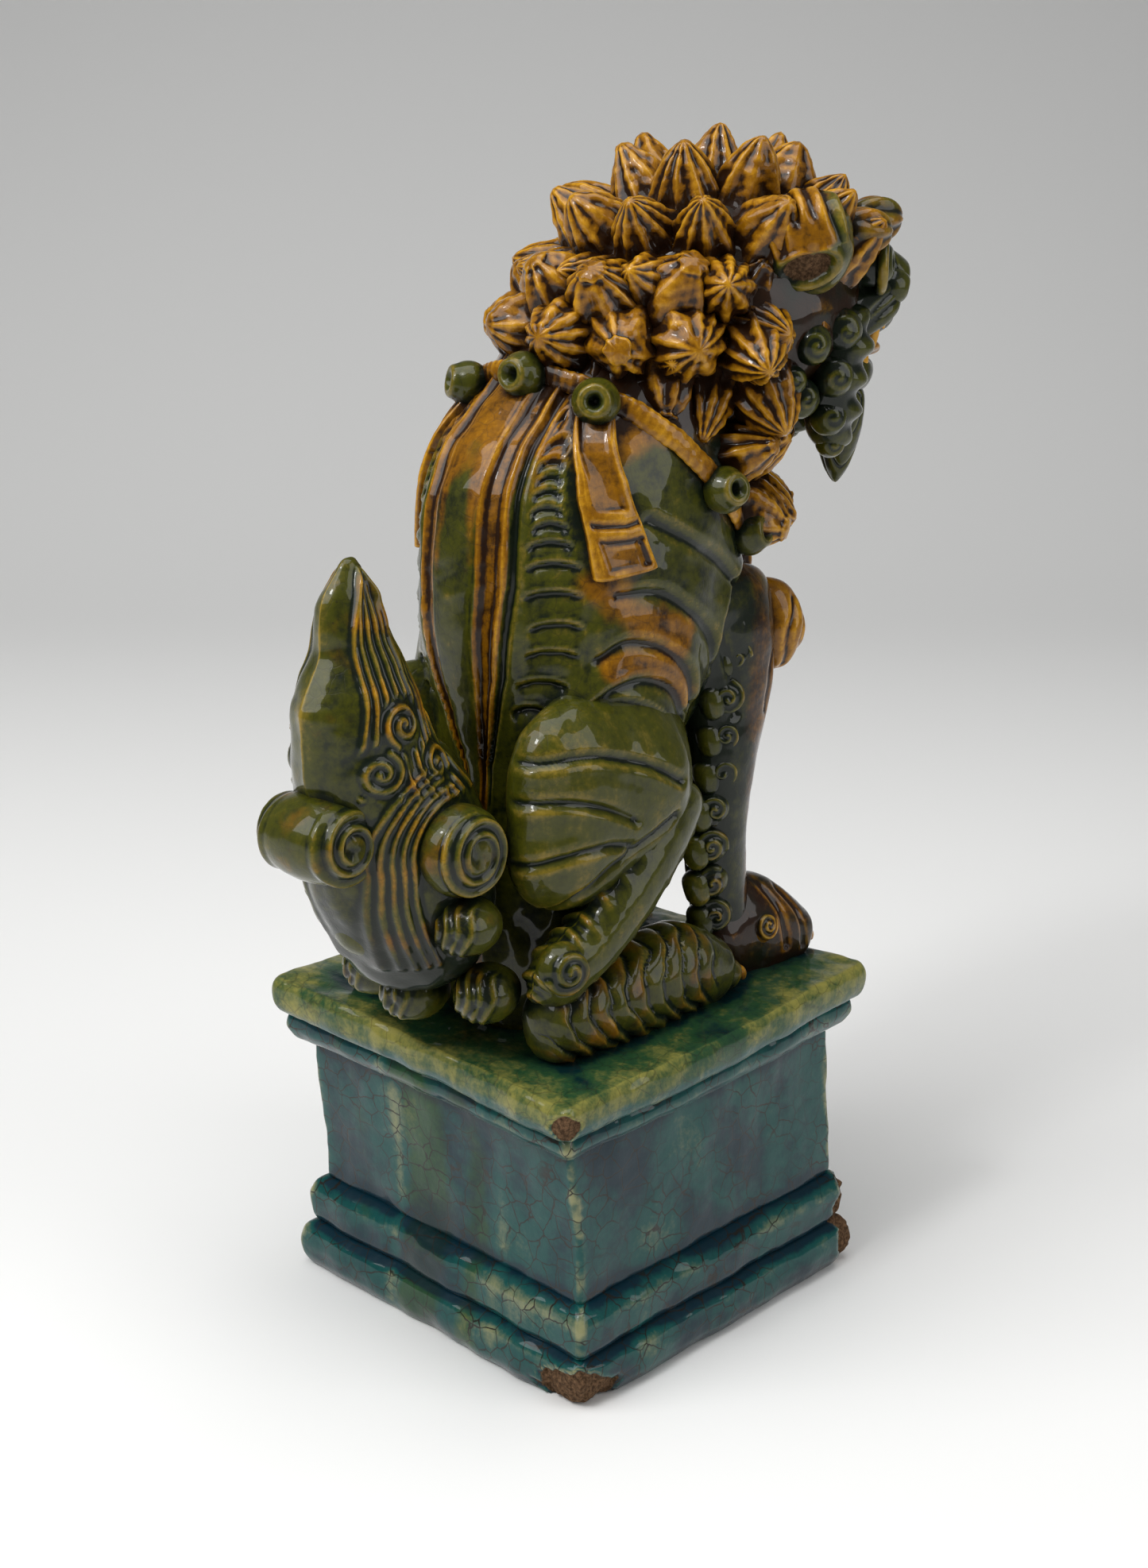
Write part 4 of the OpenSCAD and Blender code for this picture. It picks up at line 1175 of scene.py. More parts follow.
def tail_buds():
    """Buds round the root of the tail: eggs with four curved ribs and a dimple at the front."""
    patches = []
    for x, y, z in BUDS:
        out = unit(np.array([x * 0.6, y - 30.0, 4.0]))
        flat = unit(np.cross([0, 0, 1.0], out))
        up = np.cross(out, flat)
        points = egg((x, y, z), (9.6, 8.6, 11.0), 44, 64, (flat, up, out))
        local = points - [x, y, z]
        s, t = local @ flat, local @ up
        lines = [[(-8 + 3 * j, -7), (-5 + 3.4 * j, 0), (-7 + 3.6 * j, 6.5)] for j in range(4)]
        height = scratch(s, t, lines, 0.8, 0.65) * step_up(local @ out, -4, 2)
        height = height - 1.2 * bump(np.hypot(s - 1, t + 2), 1.8) * step_up(local @ out, 3, 7)
        patches.append(patch(grounded(raised(points, height)), amber=0.3, deep=0.2, reach=0.7))
    build("tail_root_buds", patches, ["tail_root_buds"], "limb_glaze")


# ------------------------------------------------------------------ head

HEAD = np.array([-14.0, -47.0, 206.0])
HEAD_TURN = math.radians(35)
SKULL = np.array([41.0, 45.0, 36.0])


def in_head(points):
    """From the head's own frame, face towards -Y, to the lion's."""
    c, s = math.cos(-HEAD_TURN), math.sin(-HEAD_TURN)
    turned = np.asarray(points, float) @ np.array([[c, s, 0], [-s, c, 0], [0, 0, 1]])
    return turned + HEAD


def head_patch(points, **masks):
    """A patch of points given in the head's frame."""
    return patch(in_head(points), **masks)


def head_piece():
    """The hollow head's outer skin: the skull under the mane, the muzzle and the cheeks."""
    skull = egg((0, 0, 0), SKULL, 60, 90)
    height = 0.6 * uneven(skull, 22, 51)
    # deep=0.6 darkens the skull's glaze: painted shade on the skin between the ears, cheeks and mane curls.
    patches = [head_patch(raised(skull, height), amber=0.6, deep=0.6)]
    muzzle = [(0, -14, 2, 27, 22), (0, -28, 1, 26, 19), (0, -38, 0.5, 22, 15.5), (0, -46, 1, 18, 12),
              (0, -53, 2, 14.5, 9.5), (0, -58, 3, 10, 6.5)]
    points = tube(muzzle, 80, 110, ends=0.9)
    x, y, z = (points[..., k] for k in range(3))
    lip = 2.2 * np.cos(x / 15 * TAU) * step_up(-y, 34, 48) * step_up(-z, -2, 5)
    points[..., 2] = z - lip
    lines = [[(-60, 8), (-50, 2), (-40, -6), (-30, -16)], [(-57, 3), (-48, -3), (-38, -11), (-30, -20)],
             [(-50, 12), (-42, 6), (-34, 0)]]
    height = scratch(y, z, lines, 1.2, -0.9) * step_up(np.abs(x), 8, 12)
    patches.append(head_patch(raised(points, height), amber=0.05, deep=0.35))
    for side in (-1, 1):
        cheek = [(side * 20, -36, 2, 8, 8), (side * 22, -33, -10, 9, 9), (side * 22, -31, -22, 8.5, 9),
                 (side * 19, -32, -33, 7.5, 8), (side * 14, -34, -42, 5, 6)]
        points = tube(cheek, 64, 64, ends=0.9)
        wave = np.sin((points[..., 2] + 4) / 9.5 * TAU)
        height = 1.3 * wave * step_up(-points[..., 1], 30, 40)
        patches.append(head_patch(raised(points, height), amber=0.05, deep=0.35))
    build("head", patches, ["head"], "limb_glaze")


def jaw_pieces():
    """The lower jaw with its lip, and the tongue that rolls over it."""
    jaw = [(0, -24, -26, 15, 7), (0, -34, -25, 15, 7), (0, -43, -22, 13, 6.5), (0, -51, -19, 10, 5.5)]
    points = tube(jaw, 70, 100, ends=0.9)
    x = points[..., 0]
    rim = 2.2 * step_up(np.abs(x), 6, 11) * step_up(points[..., 2], -22, -16)
    points[..., 2] += rim
    build("lower_jaw", [head_patch(points, amber=0.05, deep=0.35)], ["lower_jaw"], "limb_glaze")
    tongue = [(0, -30, -16, 7, 3), (0, -40, -15, 7.5, 3), (0, -48, -13.5, 7, 2.6), (0, -54, -14, 5, 2.2)]
    points = tube(tongue, 50, 60, ends=0.9)
    points[..., 2] -= 1.1 * bump(points[..., 0], 1.6)
    build("tongue", [head_patch(points, amber=0.9)], ["tongue"], "amber_glaze")


def tooth_rows(x, y, root, tip, radius):
    """Path of one tooth, a cone bent a little forwards."""
    lean = -1.0 if tip < root else -0.5
    return [(x, y, root, radius, radius), (x, y, 0.5 * (root + tip), radius * 0.9, radius * 0.9),
            (x * 1.03, y + lean, tip, radius * 0.35, radius * 0.35)]


def teeth_piece():
    """Four fangs and four small front teeth."""
    patches = []
    for side in (-1, 1):
        rows = [tooth_rows(side * 10.0, -47.5, -3, -13, 2.6), tooth_rows(side * 8.5, -45.0, -20, -11, 2.3),
                tooth_rows(side * 2.4, -53.0, -3, -8.5, 2.0), tooth_rows(side * 6.4, -51.5, -3, -8.5, 2.0)]
        patches += [head_patch(tube(r, 20, 18, ends=0.7), amber=0.7, deep=-0.5) for r in rows]
    build("teeth", patches, ["teeth"], "pale_glaze")


def nose_piece():
    """The nose: a broad tip, a ridge up between the eyes, and two flared nostrils."""
    ridge = [(0, -32, 24, 5, 5), (0, -41, 18, 7, 6), (0, -49, 12, 9, 6), (0, -56, 7.5, 10, 6),
             (0, -60.5, 4.5, 8.5, 4.5)]
    points = tube(ridge, 80, 90, ends=0.8)
    crease = -0.8 * bump(np.sin(points[..., 1] / 4.2 * math.pi), 0.45) * step_up(-points[..., 1], 60, 46)
    patches = [head_patch(raised(points, crease), amber=0.05, deep=0.3)]
    for side in (-1, 1):
        wing = egg((side * 9.2, -53, 4.5), (5.6, 6.8, 5.5), 50, 60)
        hole = bump(np.linalg.norm((wing - [side * 9.8, -59.5, 3.5]) / [2.6, 3.2, 2.2], axis=-1), 1.0)
        patches.append(head_patch(raised(wing, -3.2 * hole), amber=0.05, deep=0.3))
    build("nose", patches, ["nose"], "limb_glaze")


def eyes_piece():
    """Bulging eyes with drilled pupils and a raised lid round each."""
    patches = []
    for side in (-1, 1):
        ball = egg((side * 17.5, -43.5, 12), (7.2, 8.2, 7.0), 60, 70)
        hole = bump(np.linalg.norm((ball - [side * 20.5, -51, 12.5]) / 2.5, axis=-1), 1.0)
        patches.append(head_patch(raised(ball, -4.0 * hole), amber=0.1, deep=0.6))
        turn = np.linspace(0, TAU, 60, endpoint=False)
        rim = np.stack([side * (17.8 + 8.6 * np.cos(turn)), -46.5 + 2.6 * np.abs(np.cos(turn)),
                        12 + 7.6 * np.sin(turn)], -1)
        patches.append(loop_patch(rim, 1.7, amber=0.1))
    build("eyes", patches, ["eyes"], "pale_glaze")


def loop_patch(path, radius, amber=0.0):
    """A closed cord on the head: a circle of 18 sides carried round a closed path."""
    tangent = unit(np.roll(path, -1, 0) - np.roll(path, 1, 0))
    across = unit(np.cross(tangent, path - path.mean(0)))
    third = np.cross(tangent, across)
    turn = np.arange(18) * TAU / 18
    points = (path[:, None] + radius * across[:, None] * np.cos(turn)[None, :, None]
              + radius * third[:, None] * np.sin(turn)[None, :, None])
    return patch(in_head(points), amber=amber, closed=True, reach=0.6)


def brows_piece():
    """Brow curls: three lobes over each eye, ribbed from front to back."""
    patches = []
    for side in (-1, 1):
        for x, y, z, r in ((7, -45, 22, 6.0), (17, -44, 24.5, 6.8), (27, -37, 22, 6.8)):
            points = egg((side * x, y, z), (r, r * 1.25, r * 0.95), 36, 54)
            local = points - [side * x, y, z]
            wave = np.cos(np.arctan2(local[..., 2], local[..., 0]) * 6)
            height = 0.8 * wave * bump(local[..., 1] + 2, 6)
            patches.append(head_patch(raised(points, height), amber=0.5, deep=0.2))
    build("brows", patches, ["brows"], "amber_glaze")


def ear_piece(side):
    """An ear: a cupped leaf that stands out, ribbed on its back. The right one is snapped off short."""
    broken = side < 0
    out = unit(np.array([side * 0.86, 0.1, -0.32]))
    flat = unit(np.cross(out, [0, 0.3, 1.0])) * -side
    up = np.cross(flat, out) * -side
    root = np.array([side * 32.0, -18.0, 20.0])
    length = 15.0 if broken else 21.0
    f = np.linspace(0, 1, 80)[:, None]
    turn = (np.arange(110) * TAU / 110)[None]
    taper = np.sqrt(np.maximum(1 - f ** (3.5 if broken else 2.4), 0))
    start = np.sqrt(np.minimum(f / 0.12, 1))
    a = (13.5 + 1.5 * np.sin(turn)) * taper * start * np.cos(turn)
    b = 15.0 * taper * start * np.sin(turn)
    along = length * f - 0.25 * np.maximum(b, 0)
    points = root + out * along[..., None] + flat * a[..., None] + up * (b + 3.0 * f ** 2)[..., None]
    top = step_up(np.sin(turn), -0.3, 0.4)
    ribs = 1.1 * np.cos(a * 1.25) * top * step_up(f, 0.0, 0.3) * (1 - step_up(f, 0.8, 0.97))
    opening = np.hypot((a - 2.5) / (7.5 if broken else 9.0), (b + 4.5) / (4.5 if broken else 7.0))
    gone = (1 - step_up(opening, 0.8, 1.1)) * step_up(f, 0.5, 0.7)
    height = ribs - 3.0 * gone + 0.8 * bump(opening - 1.25, 0.2) * step_up(f, 0.5, 0.7)
    bare = gone if broken else 0.0
    leaf = head_patch(raised(points, height), amber=0.9 * top * step_up(a, -12, -4), deep=0.1, bare=bare)
    name = "right" if broken else "left"
    build("ear_" + name, [leaf], ["ear_" + name], "amber_glaze")


# Curls of beard on one cheek: x, y, z and radius, in the head's frame.
CHEEK_CURLS = [(28, -31, -6, 6.5), (28, -29, -19, 6.5), (25, -29, -31, 6.0), (19, -32, -40, 4.5),
               (34, -20, -9, 6.0), (29, -19, -25, 6.0), (35, -14, -19, 4.5)]
BEARD = [(0, -40, -22, 12, 8), (0, -41, -31, 12.5, 7.5), (0, -41, -40, 10.5, 6.5), (0, -41, -48, 6.5, 4.5),
         (0, -41, -56, 2.0, 1.8)]


def cheek_and_beard():
    """Curls of beard along the cheeks, and the pointed beard of the chin with combed locks."""
    patches = []
    for side in (-1, 1):
        for k, (x, y, z, r) in enumerate(CHEEK_CURLS):
            points = egg((side * x, y, z), (r * 0.85, r * 0.95, r), 32, 44)
            local = points - [side * x, y, z]
            scroll = spiral((0, 0), r * 0.75, 1.4, 60 * k)
            height = scratch(local[..., 1], local[..., 2], [scroll], 0.8, 0.4)
            height = height * step_up(side * local[..., 0], 0, 3)
            patches.append(head_patch(raised(points, height), amber=0.1, deep=0.3))
    build("cheek_curls", patches, ["cheek_curls"], "limb_glaze")
    points = tube(BEARD, 110, 110, ends=0.8)
    wave = np.abs(np.sin(points[..., 0] / 5.2 * math.pi))
    height = -1.0 * (1 - wave) ** 3
    build("beard", [head_patch(raised(points, height), amber=0.05, deep=0.35)], ["beard"], "limb_glaze")


# ------------------------------------------------------------------ mane

# Rows of curls: elevation, count and half the sweep, both ways from the back, in degrees.
CROWN_ROWS = [(90, 1, 0), (63, 7, 154), (37, 10, 128), (12, 7, 78)]
# Single curls on both sides of the crown: elevation, and the places from the back.
CROWN_SIDES = [(46, (147,)), (26, (143,)), (-14, (64, 90)), (-38, (72, 100))]
NECK_EGG = (np.array([-7.0, -34, 200]), np.array([36.0, 44, 22]))
NECK_ROWS = [(30, 6, 84), (0, 9, 108), (-34, 4, 40)]
BREAST_EGG = (np.array([0.0, -20, 156]), np.array([38.0, 46, 40]))
# Rows on each side of the breast: elevation, count, and the first and last place from the back.
BREAST_ROWS = [(38, 3, 104, 150), (14, 5, 100, 166), (-14, 4, 118, 168), (-42, 2, 142, 166)]


def curl_patches(roots, outs, seed, amber=1.0, plump=0.0):
    """Mane curls: with u from root to tip and v round, the radius is (1 - u)^0.72 (1 + fat u), pressed in
    between narrow ribs, and the axis bends a little towards the tip. Each curl differs slightly, and
    plump ones are shorter, swell below the tip and end in a nub."""
    carving = settings("carving")
    rng = np.random.default_rng(seed)
    ribs = carving.curl_ribs
    u = np.linspace(0, 1, 28)[:, None]
    v = (np.arange(ribs * 6) * TAU / (ribs * 6))[None]
    patches = []
    for root, out in zip(roots, outs):
        height = carving.curl_height / MM * rng.uniform(0.88, 1.12)
        radius = carving.curl_radius / MM * rng.uniform(0.92, 1.06)
        turn, lean, lean_way = rng.uniform(0, TAU), rng.uniform(0.0, 3.0), rng.uniform(0, TAU)
        height *= 1.04 - 0.3 * plump
        fat = rng.uniform(0.15, 0.55) + plump
        flat = unit(np.cross(out, [0.3, 0.2, 1.0]))
        up = np.cross(out, flat)
        nub = (0.05 + 0.3 * plump) * rng.uniform() * bump(u - 0.95, 0.04)
        profile = np.maximum(1 - u, 0) ** 0.72 * (1 + fat * u) + nub
        count = ribs + rng.integers(-2, 2)
        rib = np.abs(np.cos(0.5 * count * (v + turn) + (0.4 + plump) * np.sin(2 * v + turn) + lean * 0.4 * u))
        rib = rib ** rng.uniform(1.5, 3.5)
        press = 1 - 0.18 * (1 - rib) * step_up(u, 0.02, 0.25) * (1 - 0.5 * step_up(u, 0.85, 1.0))
        shape = radius * profile * press
        bottom = -5.0
        along = bottom + (height - bottom) * (u ** 0.9)
        sway = lean * np.clip(u, 0, 1) ** 2
        points = (root + out * (along * np.ones_like(v))[..., None]
                  + flat * (shape * np.cos(v) + sway * math.cos(lean_way))[..., None]
                  + up * (shape * np.sin(v) + sway * math.sin(lean_way))[..., None])
        points[0] = points[0].mean(0)
        points = points + outward(points) * (0.25 * uneven(points, 8, 74))[..., None]
        tone = amber * np.ones(points.shape[:2])
        patches.append(patch(points, amber=tone, deep=0.08, reach=0.8))
    return patches


def standing(middle, half, azimuth, elevation):
    """Root and direction of a curl on an egg: azimuth from the back, elevation from the level."""
    a, e = np.radians(azimuth), np.radians(elevation)
    way = np.array([math.sin(a) * math.cos(e), math.cos(a) * math.cos(e), math.sin(e)])
    return middle + half * way, unit(way / half)


def mane_pieces():
    """Curls in rows over the crown, round the neck and on the breast."""
    roots, outs = [], []
    for elevation, count, sweep in CROWN_ROWS:
        for i in range(count):
            a = 0 if count == 1 else -sweep + 2 * sweep * i / (count - 1)
            root, out = standing(np.zeros(3), SKULL, a, elevation)
            roots.append(in_head(root))
            outs.append(in_head(out) - HEAD)
    for elevation, places in CROWN_SIDES:
        for a in places:
            for side in (-1, 1):
                root, out = standing(np.zeros(3), SKULL, side * a, elevation)
                roots.append(in_head(root))
                outs.append(in_head(out) - HEAD)
    build("mane_crown", curl_patches(roots, outs, 71), ["mane_curls_crown"], "amber_glaze")
    roots, outs = [], []
    for elevation, count, sweep in NECK_ROWS:
        for i in range(count):
            root, out = standing(*NECK_EGG, -sweep + 2 * sweep * i / (count - 1), elevation)
            roots.append(root)
            outs.append(out)
    build("mane_neck", curl_patches(roots, outs, 72, plump=0.5), ["mane_curls_neck"], "amber_glaze")
    roots, outs = [], []
    for elevation, count, first, last in BREAST_ROWS:
        for side in (-1, 1):
            for i in range(count):
                azimuth = first + (last - first) * i / (count - 1)
                root, out = standing(*BREAST_EGG, side * azimuth, elevation)
                roots.append(root)
                outs.append(out)
    build("mane_breast", curl_patches(roots, outs, 73, 0.8, 0.25), ["mane_curls_breast"], "amber_glaze")


# ------------------------------------------------------------------ collar

# Where the bells hang, in degrees from the spine towards the right side.
BELLS = [-135, -95, -34, 3, 38, 99, 126, 180]


def collar_line(degrees):
    """Height of the collar at an angle from the spine."""
    return np.interp(np.abs(degrees), COLLAR[:, 0], COLLAR[:, 1])


def collar_band():
    """The collar: a cord laid round the torso, ribbed across."""
    degrees = np.linspace(-180, 180, 420, endpoint=False)
    path = on_torso(degrees, collar_line(degrees), 1.2)
    tangent = unit(np.roll(path, -1, 0) - np.roll(path, 1, 0))
    out = unit(on_torso(degrees, collar_line(degrees), 3.0) - on_torso(degrees, collar_line(degrees), 0.0))
    third = unit(np.cross(tangent, out))
    turn = np.arange(28) * TAU / 28
    rib = 1 + 0.03 * np.sin(degrees * 1.6)[:, None]
    points = (path[:, None] + (out[:, None] * (1.5 * rib * np.cos(turn))[..., None])
              + third[:, None] * (3.2 * rib * np.sin(turn))[..., None])
    build("collar_band", [patch(points, amber=1.0, closed=True, reach=0.7)], ["collar_band"], "amber_glaze")


def collar_bells():
    """Round bells, each with a deep mouth in a raised rim."""
    radius = settings("carving").bell_radius / MM
    patches = []
    for degrees in BELLS:
        z = float(collar_line(degrees))
        middle = on_torso(float(degrees), z - 1.5, radius * 0.55)
        off_torso = on_torso(float(degrees), z, 1.0) - on_torso(float(degrees), z, 0.0)
        out = unit(off_torso + np.array([0, 0.3, 0.2]))
        flat = unit(np.cross([0, 0, 1.0], out))
        up = np.cross(out, flat)
        points = egg(middle, (radius, radius, radius * 0.95), 48, 56, (flat, up, out))
        local = points - middle
        s, t = local @ flat, local @ up
        front = step_up(local @ out, 0.2 * radius, 0.6 * radius)
        away = np.hypot(s, t)
        height = front * (-5.0 * (1 - step_up(away, 1.7, 2.7)) + 0.8 * bump(away - 3.9, 1.0))
        patches.append(patch(raised(points, height), amber=0.2, reach=0.7))
    build("collar_bells", patches, ["collar_bells"], "limb_glaze")


def collar_tassels():
    """A teardrop tassel in front of each shoulder, with two soft folds."""
    rows = [(-31, -50, 124, 3.5, 4), (-33, -55, 116, 7.5, 8), (-34, -57, 108, 9, 9.5),
            (-34, -56, 100, 6, 6.5), (-33, -54, 95, 2.5, 2.5)]
    points = tube(rows, 60, 60, ends=0.8)
    lines = [[(-58, 118), (-53, 108), (-56, 97)], [(-63, 114), (-60, 106), (-61, 100)]]
    height = scratch(points[..., 1], points[..., 2], lines, 1.3, -1.1)
    patches = [patch(raised(points, height), amber=0.95)]
    build("collar_tassels", patches + mirrored(patches), ["collar_tassels"], "amber_glaze")


def ribbon(side):
    """One end of the collar's bow: a band laid on the torso, with two long grooves and a slotted hem."""
    rows, columns = 120, 90
    f = np.linspace(0, 1, rows)[:, None]
    turn = (np.arange(columns) * TAU / columns)[None]
    z_mid = 184 - 47 * f
    left = np.interp(z_mid, [135, 148, 166, 179, 186], [53.5, 49.5, 42.5, 34.5, 31])
    right = np.interp(z_mid, [135, 139, 152, 164, 177, 186], [75, 74, 67, 60, 50.5, 44])
    end = np.sqrt(np.clip(np.minimum(f, 1 - f) / 0.02, 0, 1))
    c, s = np.cos(turn), np.sin(turn)
    wide = np.sign(c) * np.abs(c) ** 0.28
    lift = 2.3 * np.sign(s) * np.abs(s) ** 0.45 * end + 0.7
    degrees = 0.5 * (left + right) + 0.5 * (right - left) * wide * end
    z = z_mid + 0.09 * (degrees - 64) * step_up(f, 0.6, 1.0)
    points = on_torso(degrees * np.ones_like(z), z * np.ones_like(degrees), lift * np.ones_like(z))
    top = step_up(s, 0.3, 0.8) * np.ones_like(f)
    a, b = 0.5 * (right - left) * DEGREE * wide, (z_mid - 160) * np.ones_like(turn)
    long_lines = [[(-4.0, 22), (-2.6, 10), (-1.6, -3)], [(1.2, 20), (2.6, 8), (3.4, -3)]]
    hem = [[(x, -13.5), (x + 0.3, -19.5)] for x in (-3.6, 1.0, 5.4)]
    height = scratch(a, b, long_lines, 1.0, -1.3)
    height = height + scratch(a, b, [[(-5, -7.5), (1, -8.5), (6.5, -7.5)]], 1.0, -1.0)
    height = height + scratch(a, b, [[(-4, -12), (1, -12.8), (6, -12)]], 0.9, -0.9)
    height = height + scratch(a, b, hem, 0.9, -1.2)
    band = patch(raised(points, height * top), amber=1.0, reach=0.7)
    build_side("ribbon", side, [band], "ribbon", "amber_glaze")


# ------------------------------------------------------------------ pooled glaze and painted crevice shade

def paint_crevice_shade_and_pools():
    """Fills each piece's pool mask, painted shade in crevices along with pooled glaze: how crowded the space
    just above each point is.

    Every point's share of surface is gathered on a grid of small boxes, blurred, and read back a
    little way out along the normal. A flat face reads 0, and a crevice between pieces reads 1.
    """
    box, reach = 0.002, 0.0026
    pieces = [o for o in bpy.data.objects if o.type == "MESH" and "crevice_pool_and_shade" in o.data.attributes]
    spots, normals, weights = [], [], []
    for piece in pieces:
        count = len(piece.data.vertices)
        co, no = np.empty(count * 3, np.float32), np.empty(count * 3, np.float32)
        piece.data.vertices.foreach_get("co", co)
        piece.data.vertex_normals.foreach_get("vector", no)
        areas = np.empty(len(piece.data.polygons), np.float32)
        piece.data.polygons.foreach_get("area", areas)
        totals = np.empty(len(piece.data.polygons), np.int32)
        piece.data.polygons.foreach_get("loop_total", totals)
        corners = np.empty(int(totals.sum()), np.int32)
        piece.data.loops.foreach_get("vertex_index", corners)
        share = np.bincount(corners, np.repeat(areas / totals, totals), count)
        spots.append(co.reshape(-1, 3))
        normals.append(no.reshape(-1, 3))
        weights.append(share)
    low = np.min([s.min(0) for s in spots], 0) - 0.02
    size = ((np.max([s.max(0) for s in spots], 0) + 0.02 - low) / box).astype(int) + 1
    field = np.zeros(int(np.prod(size)))
    for s, w in zip(spots, weights):
        i = ((s - low) / box).astype(int)
        field += np.bincount((i[:, 0] * size[1] + i[:, 1]) * size[2] + i[:, 2], w, len(field))
    field = field.reshape(size)
    for axis in range(3):
        for _ in range(3):
            field = (np.roll(field, 1, axis) + field + np.roll(field, -1, axis)) / 3
    flat = box * box * 0.30
    for piece, s, n in zip(pieces, spots, normals):
        at = (s + n * reach - low) / box - 0.5
        i = at.astype(int)
        f = at - i
        value = 0
        for corner in range(8):
            step = np.array([corner & 1, corner >> 1 & 1, corner >> 2 & 1])
            part = np.prod(np.where(step, f, 1 - f), axis=1)
            j = i + step
            value = value + part * field[j[:, 0], j[:, 1], j[:, 2]]
        crowd = value / flat
        # Crowded places get a high mask, which darkens the glaze there: painted shade in crevices, on top of
        # pooled glaze.
        piece.data.attributes["crevice_pool_and_shade"].data.foreach_set("value", step_up(crowd, 0.85, 2.4).astype(np.float32))


# ------------------------------------------------------------------ operators

class PieceOperator:
    """What the statue's operators share."""

    bl_options = {"REGISTER", "UNDO"}

    def execute(self, context):
        self.make()
        return {"FINISHED"}


class STATUE_OT_plinth(PieceOperator, bpy.types.Operator):
    """Make the plinth's walls and mouldings and the slab on top"""

    bl_idname = "statue.plinth"
    bl_label = "Plinth"

    def make(self):
        plinth_pieces()
        plinth_slab()


class STATUE_OT_torso(PieceOperator, bpy.types.Operator):
    """Make the torso with its spine, notches and ribs"""

    bl_idname = "statue.torso"
    bl_label = "Torso"

    def make(self):
        torso_piece()


class STATUE_OT_legs(PieceOperator, bpy.types.Operator):
    """Make the legs, paws and fringes on both sides"""

    bl_idname = "statue.legs"
    bl_label = "Legs"

    def make(self):
        for side in (-1, 1):
            hind_leg(side)
            hind_paw(side)
            front_leg(side)
            front_paw(side)
            front_fringe(side)


class STATUE_OT_tail(PieceOperator, bpy.types.Operator):
    """Make the flame tail, its scrolls and the buds at its root"""

    bl_idname = "statue.tail"
    bl_label = "Tail"

    def make(self):
        tail_flame()
        tail_scrolls()
        tail_buds()


class STATUE_OT_head(PieceOperator, bpy.types.Operator):
    """Make the head, jaw, face, ears and beard"""

    bl_idname = "statue.head"
    bl_label = "Head"

    def make(self):
        head_piece()
        jaw_pieces()
        teeth_piece()
        nose_piece()
        eyes_piece()
        brows_piece()
        cheek_and_beard()
        for side in (-1, 1):
            ear_piece(side)


class STATUE_OT_mane(PieceOperator, bpy.types.Operator):
    """Make the curls of the mane"""

    bl_idname = "statue.mane"
    bl_label = "Mane"

    def make(self):
        mane_pieces()


class STATUE_OT_collar(PieceOperator, bpy.types.Operator):
    """Make the collar, its bells and tassels, and the ribbons"""

    bl_idname = "statue.collar"
    bl_label = "Collar"

    def make(self):
        collar_band()
        collar_bells()
        collar_tassels()
        for side in (-1, 1):
            ribbon(side)


class STATUE_OT_crevice_shade_and_pools(PieceOperator, bpy.types.Operator):
    """Work out where the glaze pools between the pieces, and paint shade into those crevices"""

    bl_idname = "statue.pool_glaze"
    bl_label = "Pool the glaze"

    def make(self):
        paint_crevice_shade_and_pools()


class STATUE_OT_stage(PieceOperator, bpy.types.Operator):
    """Make the floor, the lights and the camera"""

    bl_idname = "statue.stage"
    bl_label = "Stage"

    def make(self):
        stage()


def camera_axes():
    """The camera's back, right and up directions from its azimuth and elevation."""
    look = settings("stage")
    a, e = look.azimuth, look.elevation
    back = np.array([math.sin(a) * math.cos(e), -math.cos(a) * math.cos(e), math.sin(e)])
    right = unit(np.cross(-back, [0, 0, 1.0]))
    return back, right, np.cross(right, -back)


def area_light(name, place, target, size, power):
    """A soft white light that faces a target."""
    light = bpy.data.lights.new(name, "AREA")
    light.shape = "RECTANGLE"
    light.size, light.size_y = size
    light.energy = power
    lamp = bpy.data.objects.new(name, light)
    back = unit(np.asarray(place, float) - np.asarray(target, float))
    right = unit(np.cross([0, 0, 1.0], back))
    up = np.cross(back, right)
    lamp.matrix_world = [(*column, 0) for column in (right, up, back)] + [(*place, 1)]
    bpy.context.collection.objects.link(lamp)
    return lamp


